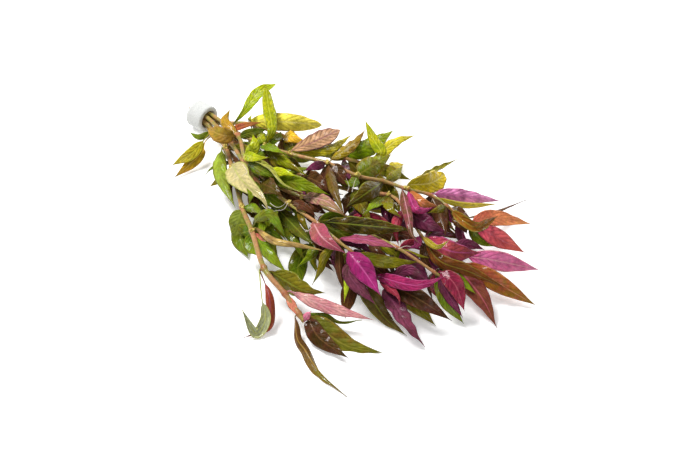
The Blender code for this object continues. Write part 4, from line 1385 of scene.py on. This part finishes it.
def leaf_mesh(one, settings, seed):
    """The rows of a leaf's upper and under sides, and each point's place on the blade."""
    form = form_of(one, seed)
    rows = max(14, int(settings.leaf_steps * (0.6 if one.is_young else 1)))
    half = 5 if one.is_young else 7
    shares = [i / rows for i in range(rows + 1)]
    lift, turn, slide = CHANGES[one.name]
    rib = midrib(one, lift, slide)
    if not one.is_young:
        joint = stem_course(one.stem)[one.joint + 2]
        rib.insert(0, joint + stem_direction(one.stem, one.joint) * slide)
    centres, directions = stations_on(rib, shares)
    length = sum((b - a).length for a, b in zip(rib, rib[1:]))
    angle = math.radians(one.turn + turn)
    ruffle = settings.ruffle / MM * form.wave * min(1, one.width / 10)
    thick = settings.leaf_thickness / MM / 2
    waves = 1.6 + length / 15
    uppers, unders, places = [], [], []
    for share, centre, along in zip(shares, centres, directions):
        side = along.cross(SIGHT).normalized()
        face = along.cross(side)
        lean = angle + math.radians(form.twist * (share - 0.3) + 7 * wave(seed + 3, share * 2.5))
        side, face = (
            side * math.cos(lean) - face * math.sin(lean),
            face * math.cos(lean) + side * math.sin(lean),
        )
        reach = margin_reach(share, one, form)
        uneven = 1 + 0.08 * wave(seed, share * 6)
        spread = [(0.0, 0.0)]
        for j in range(1, half + 1):
            slope = math.radians(form.fold + form.roll * (j - 0.5) / half)
            x, y = spread[-1]
            spread.append((x + math.cos(slope) / half, y - math.sin(slope) / half))
        upper_row, under_row, place_row = [], [], []
        for j in range(-half, half + 1):
            out = abs(j) / half
            x, y = spread[abs(j)]
            swing = math.sin(math.tau * waves * share + seed * 2.1 + (1.7 if j < 0 else 0))
            ripple = ruffle * out**2.2 * swing * min(1, reach / 3)
            wide = out * reach
            groove = -0.16 * math.exp(-((wide / 0.5) ** 2)) * min(1, reach / 2)
            rib_swell = 0.38 * math.exp(-((wide / 0.55) ** 2)) * (1 - 0.75 * share)
            body = thick * (1 - out**4) * (0.75 + 0.25 * min(1, reach / 2))
            spot = (
                centre
                + side * (math.copysign(x, j) * reach * uneven)
                + face * (y * reach + ripple)
            )
            slope = math.radians(form.fold + form.roll * out) if j else 0
            skin = face * math.cos(slope) + side * math.copysign(math.sin(slope), j)
            top = spot + skin * (body + groove)
            low = spot - skin * (body + rib_swell)
            shift = max(0, FLOOR_GAP - min(low.z, top.z)) - max(0, max(low.z, top.z) - CEILING)
            top.z += shift
            low.z += shift
            upper_row.append(top)
            under_row.append(low)
            place_row.append((0.5 + j / half / 2, share))
        uppers.append(upper_row)
        unders.append(under_row)
        places.append(place_row)
    return uppers, unders, places


def close_leaf(uppers, unders, places, points, faces, spots, sides):
    """Adds a leaf's closed skin to the lists, with the place on the blade of each point."""
    columns = len(uppers[0])
    ring = 2 * columns - 2
    start = len(points)
    for upper, under, place in zip(uppers, unders, places):
        for j in range(columns):
            at_margin = j in (0, columns - 1)
            points.append((upper[j] + under[j]) / 2 if at_margin else upper[j])
            spots.append(place[j])
            sides.append(0.5 if at_margin else 0.0)
        for j in range(columns - 2, 0, -1):
            points.append(under[j])
            spots.append(place[j])
            sides.append(1.0)
    rows = len(uppers)
    for i in range(rows - 1):
        a = start + i * ring
        for j in range(ring):
            k = (j + 1) % ring
            faces.append((a + j, a + ring + j, a + ring + k, a + k))
    faces.append(tuple(start + j for j in range(ring)))
    last = start + (rows - 1) * ring
    faces.append(tuple(last + j for j in reversed(range(ring))))


def leaves_object(name, leaves, settings):
    """One mesh of these leaves: where each point is on its blade, and its colours."""
    points, faces, spots, sides, kinds = [], [], [], [], []
    uppers, unders = [], []
    for one in leaves:
        seed = SEEDS[one.name]
        first_face = len(faces)
        before = len(points)
        close_leaf(*leaf_mesh(one, settings, seed), points, faces, spots, sides)
        look = LOOKS[one.slot]
        tints = (*TINTS.get(one.name, (look.base, look.tip)), look.under)
        base, tip, under = (Vector(seen_colour(text)) for text in tints[:3])
        shade = 1 + random.Random(seed).uniform(-0.25, 0.25) * one.is_young
        shade *= YOUNG_LIGHT if one.is_young and not one.is_inner else 1
        for spot in spots[before:]:
            tint = base.lerp(tip, spot[1]) * shade
            uppers += [tint.x, tint.y, tint.z, 1.0]
            tint = under.lerp(tint, 0.25)
            unders += [tint.x, tint.y, tint.z, 1.0]
        kinds += [one.slot] * (len(faces) - first_face)
    thing = new_object(name, points, faces)
    mesh = thing.data
    layer = mesh.uv_layers.new(name="blade")
    for loop in mesh.loops:
        layer.data[loop.index].uv = spots[loop.vertex_index]
    mesh.attributes.new("underside", "FLOAT", "POINT").data.foreach_set("value", sides)
    for label, values in (("upper_tint", uppers), ("under_tint", unders)):
        mesh.attributes.new(label, "FLOAT_COLOR", "POINT").data.foreach_set("color", values)
    used = sorted(set(kinds))
    for kind in used:
        mesh.materials.append(leaf_skin(kind, settings))
    for polygon, kind in zip(mesh.polygons, kinds):
        polygon.use_smooth = True
        polygon.material_index = used.index(kind)
    return thing


def leaf_skin(kind, settings):
    """The finish of this kind of leaf, made once."""
    label = kind + "_leaf_skin"
    return bpy.data.materials.get(label) or leaf_finish(label, LOOKS[kind], settings.gloss)


def place_piece(piece, node):
    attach(piece, "root")
    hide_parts(node)


def plain_mesh(thing):
    """Turns an object with modifiers into a plain mesh object of the same name."""
    bpy.context.view_layer.update()
    depsgraph = bpy.context.evaluated_depsgraph_get()
    mesh = bpy.data.meshes.new_from_object(
        thing.evaluated_get(depsgraph), preserve_all_data_layers=True, depsgraph=depsgraph
    )
    thing.modifiers.clear()
    old = thing.data
    thing.data = mesh
    if isinstance(old, bpy.types.Mesh):
        bpy.data.meshes.remove(old)
    mesh.name = thing.name
    return thing


class Tree:
    """A tree of geometry nodes while it is being built."""

    def __init__(self, name, inputs):
        self.group = bpy.data.node_groups.new(name, "GeometryNodeTree")
        face = self.group.interface
        face.new_socket("Geometry", in_out="INPUT", socket_type="NodeSocketGeometry")
        self.keys = {}
        for label, kind, value in inputs:
            socket = face.new_socket(label, in_out="INPUT", socket_type=kind)
            if value is not None:
                socket.default_value = value
            self.keys[label] = socket.identifier
        face.new_socket("Geometry", in_out="OUTPUT", socket_type="NodeSocketGeometry")
        self.given = self.group.nodes.new("NodeGroupInput")
        self.result = self.group.nodes.new("NodeGroupOutput")

    def node(self, kind, settings=None, sockets=None):
        node = self.group.nodes.new(kind)
        for name, value in (settings or {}).items():
            setattr(node, name, value)
        for name, value in (sockets or {}).items():
            if isinstance(value, bpy.types.NodeSocket):
                self.group.links.new(value, node.inputs[name])
            else:
                node.inputs[name].default_value = value
        return node

    def finish(self, geometry, material):
        """Ends the tree: real geometry, in its material."""
        real = self.node("GeometryNodeRealizeInstances", {}, {"Geometry": geometry})
        painted = self.node(
            "GeometryNodeSetMaterial", {}, {"Geometry": real.outputs[0], "Material": material}
        )
        self.group.links.new(painted.outputs[0], self.result.inputs[0])

    def apply(self, thing, **values):
        modifier = thing.modifiers.new(self.group.name, "NODES")
        modifier.node_group = self.group
        for label, value in values.items():
            modifier[self.keys[label]] = value
        return plain_mesh(thing)


def stem_tree():
    """A round skin along a line of points, each with its radius."""
    tree = Tree(
        "Stem along its axis",
        [("Sides", "NodeSocketInt", 12), ("Material", "NodeSocketMaterial", None)],
    )
    given = tree.given.outputs
    curve = tree.node("GeometryNodeMeshToCurve", {}, {"Mesh": given["Geometry"]})
    radius = tree.node(
        "GeometryNodeInputNamedAttribute", {"data_type": "FLOAT"}, {"Name": "radius"}
    )
    sized = tree.node(
        "GeometryNodeSetCurveRadius",
        {},
        {"Curve": curve.outputs[0], "Radius": radius.outputs[0]},
    )
    ring = tree.node(
        "GeometryNodeCurvePrimitiveCircle",
        {},
        {"Resolution": given["Sides"], "Radius": 1.0},
    )
    skin = tree.node(
        "GeometryNodeCurveToMesh",
        {},
        {"Curve": sized.outputs[0], "Profile Curve": ring.outputs[0], "Fill Caps": True},
    )
    if "Scale" in skin.inputs:
        tree.group.links.new(radius.outputs[0], skin.inputs["Scale"])
    smooth_skin = tree.node("GeometryNodeSetShadeSmooth", {}, {"Geometry": skin.outputs[0]})
    tree.finish(smooth_skin.outputs[0], given["Material"])
    return tree


def bud_tree():
    """Papery scales that stand out from each point, every one turned its own way."""
    tree = Tree(
        "Buds on joints",
        [
            ("Scale length", "NodeSocketFloat", 0.0015),
            ("Scales", "NodeSocketInt", 9),
            ("Seed", "NodeSocketInt", 4),
            ("Material", "NodeSocketMaterial", None),
        ],
    )
    given = tree.given.outputs
    copies = tree.node(
        "GeometryNodeDuplicateElements",
        {"domain": "POINT"},
        {"Geometry": given["Geometry"], "Amount": given["Scales"]},
    )
    scale_shape = tree.node(
        "GeometryNodeMeshIcoSphere", {}, {"Radius": given["Scale length"], "Subdivisions": 2}
    )
    slim = tree.node(
        "GeometryNodeTransform",
        {},
        {
            "Geometry": scale_shape.outputs[0],
            "Scale": (0.42, 0.42, 1.0),
            "Translation": (0.0, 0.0, 0.0008),
        },
    )
    turns = tree.node(
        "FunctionNodeRandomValue",
        {"data_type": "FLOAT_VECTOR"},
        {"Min": (-1.1, -1.1, 0.0), "Max": (1.1, 1.1, 6.28), "Seed": given["Seed"]},
    )
    sizes = tree.node(
        "FunctionNodeRandomValue", {"data_type": "FLOAT"}, {2: 0.55, 3: 1.1, "Seed": given["Seed"]}
    )
    copied = tree.node(
        "GeometryNodeInstanceOnPoints",
        {},
        {
            "Points": copies.outputs[0],
            "Instance": slim.outputs[0],
            "Rotation": turns.outputs[0],
            "Scale": sizes.outputs[1],
        },
    )
    tree.finish(copied.outputs[0], given["Material"])
    return tree


def line_object(name, lines):
    """Open lines of points, each point with a radius and a share of joint."""
    points, edges, radii, joints = [], [], [], []
    for line in lines:
        for i, (point, radius, joint) in enumerate(line):
            if i:
                edges.append((len(points) - 1, len(points)))
            points.append(placed_point(point))
            radii.append(radius * MM)
            joints.append(joint)
    mesh = bpy.data.meshes.new(name)
    mesh.from_pydata(points, edges, [])
    for label, values in (("radius", radii), ("joint", joints)):
        mesh.attributes.new(label, "FLOAT", "POINT").data.foreach_set("value", values)
    thing = bpy.data.objects.new(name, mesh)
    bpy.context.scene.collection.objects.link(thing)
    return thing


FINE_SPAN = (0.03, 0.06, 0.1, 0.2, 0.35, 0.5, 0.65, 0.8, 0.9, 0.94, 0.97, 1)


def fine_stem(name):
    """A stem's axis in small steps, swelling at each joint over 2 or 3 mm."""
    course = stem_course(name)
    line = smooth(course, FINE_SPAN)
    steps = len(FINE_SPAN)
    line = [line[0], *line[steps:]]
    lengths = [0.0]
    for a, b in zip(line, line[1:]):
        lengths.append(lengths[-1] + (b - a).length)
    joints = [lengths[i] for i in range(1, len(line), steps)][1:-1]
    total = lengths[-1]
    found = []
    for point, length in zip(line, lengths):
        near = min((abs(length - joint) for joint in joints), default=99)
        swell = math.exp(-((near / 2.0) ** 2))
        share = length / total
        radius = stem_girth(name, share)
        radius *= 1 + (JOINT_SWELL - 1) * swell + 0.04 * wave(len(name), length / 4)
        found.append((point, radius, swell))
    return found


# Where buds show, as the stem and joint that each is on.
BUDS = (
    ("upper_stem", 1), ("upper_stem", 2), ("upper_stem", 3), ("upper_stem", 6),
    ("front_stem", 2), ("front_stem", 4), ("front_stem", 1), ("long_stem", 1),
    ("middle_stem", 2), ("long_stem", 3), ("right_stem", 3), ("back_stem", 2),
    ("front_stem", 3), ("upper_stem", 4),
)
# White rootlets, as (across, down, rise) from where they leave the stem.
ROOTLETS = (
    ((270, 203, 6), (276, 207, 7), (282, 206, 7), (287, 201, 7)),
    ((262, 205, 5), (270, 211, 6), (280, 210, 6)),
    ((288, 203, 4), (284, 209, 6), (278, 211, 6)),
    ((243, 165, 3), (247, 172, 4), (242, 176, 3)),
    ((318, 223, 4), (315, 216, 5), (321, 211, 5)),
    ((305, 232, 4), (311, 228, 5), (307, 223, 5)),
    ((300, 224, 4), (305, 230, 6), (312, 231, 6)),
    ((345, 195, 3), (349, 187, 3), (346, 178, 3)),
    ((352, 192, 3), (354, 184, 3), (356, 178, 3)),
    ((396, 248, 5), (391, 243, 6), (392, 236, 6)),
    ((398, 249, 5), (406, 246, 6), (411, 247, 6)),
    ((336, 300, 2), (336, 308, 4), (335, 314, 3)),
    ((465, 213, 5), (477, 209, 6), (489, 211, 6)),
)


class BUNCH_OT_stage(bpy.types.Operator):
    """Lays the pale floor, and sets the lights and the camera"""

    bl_idname = "bunch.stage"
    bl_label = "Floor, lights and camera"

    def execute(self, context):
        settings = context.scene.bunch
        mesh = bpy.data.meshes.new("floor")
        far = 4.0
        mesh.from_pydata(
            [(-far, -far, 0), (far, -far, 0), (far, far, 0), (-far, far, 0)], [], [(0, 1, 2, 3)]
        )
        floor = bpy.data.objects.new("floor", mesh)
        floor.data.materials.append(floor_finish(settings.floor_colour))
        context.scene.collection.objects.link(floor)

        world = bpy.data.worlds.new("studio")
        world.use_nodes = True
        ground = world.node_tree.nodes["Background"]
        ground.inputs["Color"].default_value = (1, 1, 1, 1)
        ground.inputs["Strength"].default_value = 0.1
        context.scene.world = world
        context.scene.view_settings.view_transform = "Standard"
        for name, place, size, power in (
            ("key", (-0.75, -0.1, 1.2), 0.6, 27.0),
            ("fill", (0.75, -0.5, 0.9), 1.0, 5.0),
            ("back", (-0.3, 1.1, 0.7), 0.6, 6.0),
        ):
            light = bpy.data.lights.new(name, "AREA")
            light.size = size
            light.energy = power
            lamp = bpy.data.objects.new(name, light)
            lamp.location = place
            lamp.rotation_euler = Vector(place).to_track_quat("Z", "Y").to_euler()
            context.scene.collection.objects.link(lamp)

        camera = bpy.data.cameras.new("camera")
        camera.sensor_width = 36
        camera.lens = STEPS_PER_RADIAN * 36 / (2 * VIEW_CENTRE[0])
        watcher = bpy.data.objects.new("camera", camera)
        watcher.location = placed_point(EYE)
        watcher.rotation_euler = SIGHT.to_track_quat("-Z", "Y").to_euler()
        context.scene.collection.objects.link(watcher)
        context.scene.camera = watcher
        return {"FINISHED"}


class BUNCH_OT_cuff(bpy.types.Operator):
    """Makes the white foam cuff round the cut ends"""

    bl_idname = "bunch.cuff"
    bl_label = "Cuff"

    def execute(self, context):
        settings = context.scene.bunch
        centre = cuff_centre()
        half = CUFF_LENGTH / 2
        edge = 1.6
        profile = []
        for step in range(7):
            angle = math.pi / 2 * step / 6
            profile.append(
                (half - edge + edge * math.sin(angle), CUFF_RADIUS - edge + edge * math.cos(angle))
            )
        mirror = [(-x, r) for x, r in reversed(profile)]
        outer = [*mirror, *((half * k / 5, CUFF_RADIUS) for k in (-3, -1, 1, 3)), *profile]
        outer.sort(key=lambda spot: (spot[0], spot[1] if spot[0] < 0 else -spot[1]))
        lip = 0.9
        inner = [
            (half - lip * 0.3, CUFF_BORE_RADIUS + lip * 0.4),
            (half - lip, CUFF_BORE_RADIUS),
            (half * 0.3, CUFF_BORE_RADIUS),
            (-half * 0.3, CUFF_BORE_RADIUS),
            (lip - half, CUFF_BORE_RADIUS),
            (lip * 0.3 - half, CUFF_BORE_RADIUS + lip * 0.4),
        ]
        loop = outer + inner
        sides = 72
        points, faces = [], []
        for i in range(sides):
            angle = math.tau * i / sides
            for x, r in loop:
                uneven = 1 + 0.006 * wave(5, angle * 2 + x / 7)
                y, z = math.sin(angle) * r * uneven, math.cos(angle) * r * uneven
                point = centre + Vector((x, min(r, y), z))
                point.z = max(point.z, 0.0)
                points.append(point)
        count = len(loop)
        for i in range(sides):
            for j in range(count):
                k = (j + 1) % count
                a, b = i * count, (i + 1) % sides * count
                faces.append((a + j, a + k, b + k, b + j))
        thing = new_object("foam_cuff", points, faces)
        for polygon in thing.data.polygons:
            polygon.use_smooth = True
        work = bmesh.new()
        work.from_mesh(thing.data)
        bmesh.ops.recalc_face_normals(work, faces=work.faces)
        work.to_mesh(thing.data)
        work.free()
        thing.data.materials.append(foam_finish(settings.foam_colour))
        place_piece(thing, "cuff")
        return {"FINISHED"}


class BUNCH_OT_stems(bpy.types.Operator):
    """Makes the seven stems, swollen at their joints"""

    bl_idname = "bunch.stems"
    bl_label = "Stems"

    def execute(self, context):
        settings = context.scene.bunch
        tree = stem_tree()
        skin = stem_finish(settings.stem_colour)
        for name in STEMS:
            thing = line_object(name + "_skin", [fine_stem(name)])
            tree.apply(thing, Sides=settings.stem_sides, Material=skin)
            place_piece(thing, name)
        return {"FINISHED"}


class BUNCH_OT_large_leaves(bpy.types.Operator):
    """Makes the large leaves, each a piece of its own"""

    bl_idname = "bunch.large_leaves"
    bl_label = "Large leaves"

    def execute(self, context):
        for one in LEAVES:
            if not one.is_young:
                thing = leaves_object(one.name + "_blade", [one], context.scene.bunch)
                place_piece(thing, one.name)
        return {"FINISHED"}


class BUNCH_OT_young_leaves(bpy.types.Operator):
    """Makes the young and inner leaves, those of one stem as one piece"""

    bl_idname = "bunch.young_leaves"
    bl_label = "Young leaves"

    def execute(self, context):
        for name in STEMS:
            own = [one for one in ALL_LEAVES if one.is_young and one.stem == name]
            own = [one for one in own if one.name in CHANGES]
            thing = leaves_object(name + "_leaves", own, context.scene.bunch)
            place_piece(thing, name)
        return {"FINISHED"}


class BUNCH_OT_buds(bpy.types.Operator):
    """Makes the pale papery buds at some joints"""

    bl_idname = "bunch.buds"
    bl_label = "Buds"

    def execute(self, context):
        settings = context.scene.bunch
        tree = bud_tree()
        skin = plain_finish(
            "papery_bud", seen_colour("D8C868"), seen_colour("C2A44A"), 800.0, 0.5, 0.2
        )
        points = []
        for name, joint in BUDS:
            spot = stem_course(name)[joint + 2] - SIGHT * 1.6
            points.append(placed_point(spot))
        mesh = bpy.data.meshes.new("buds")
        mesh.from_pydata(points, [], [])
        thing = bpy.data.objects.new("buds", mesh)
        context.scene.collection.objects.link(thing)
        tree.apply(thing, Material=skin, **{"Scale length": settings.bud_size})
        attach(thing, "root")
        return {"FINISHED"}


class BUNCH_OT_rootlets(bpy.types.Operator):
    """Makes the white rootlets that hang from some joints"""

    bl_idname = "bunch.rootlets"
    bl_label = "Rootlets"

    def execute(self, context):
        settings = context.scene.bunch
        tree = stem_tree()
        skin = plain_finish(
            "rootlet", seen_colour("E8E0D8"), seen_colour("D8C4B4"), 900.0, 0.4, 0.1
        )
        radius = settings.rootlet_radius / MM
        lines = []
        for course in ROOTLETS:
            points = smooth([drawn(*spot) for spot in course], MIDRIB_SPAN)
            last = len(points) - 1
            lines.append(
                [(point, radius * (1 - 0.6 * i / last), 0) for i, point in enumerate(points)]
            )
        thing = line_object("rootlets", lines)
        tree.apply(thing, Sides=8, Material=skin)
        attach(thing, "root")
        return {"FINISHED"}


class BUNCH_PT_panel(bpy.types.Panel):
    """Lists the bunch's pieces and sizes"""

    bl_label = "Plant bunch"
    bl_idname = "BUNCH_PT_panel"
    bl_space_type = "VIEW_3D"
    bl_region_type = "UI"
    bl_category = "Bunch"

    def draw(self, context):
        layout = self.layout
        for name in BunchSettings.__annotations__:
            layout.prop(context.scene.bunch, name)
        for operator in OPERATORS:
            layout.operator(operator.bl_idname)


OPERATORS = (
    BUNCH_OT_stage,
    BUNCH_OT_cuff,
    BUNCH_OT_stems,
    BUNCH_OT_large_leaves,
    BUNCH_OT_young_leaves,
    BUNCH_OT_buds,
    BUNCH_OT_rootlets,
)
CLASSES = (BunchSettings, *OPERATORS, BUNCH_PT_panel)


def register():
    for item in CLASSES:
        bpy.utils.register_class(item)
    bpy.types.Scene.bunch = bpy.props.PointerProperty(type=BunchSettings)


def unregister():
    del bpy.types.Scene.bunch
    for item in reversed(CLASSES):
        bpy.utils.unregister_class(item)


def main():
    register()
    bpy.ops.bunch.stage()
    bpy.ops.bunch.cuff()
    bpy.ops.bunch.stems()
    bpy.ops.bunch.large_leaves()
    bpy.ops.bunch.young_leaves()
    bpy.ops.bunch.buds()
    bpy.ops.bunch.rootlets()
    bpy.context.view_layer.update()


if __name__ == "__main__":
    main()
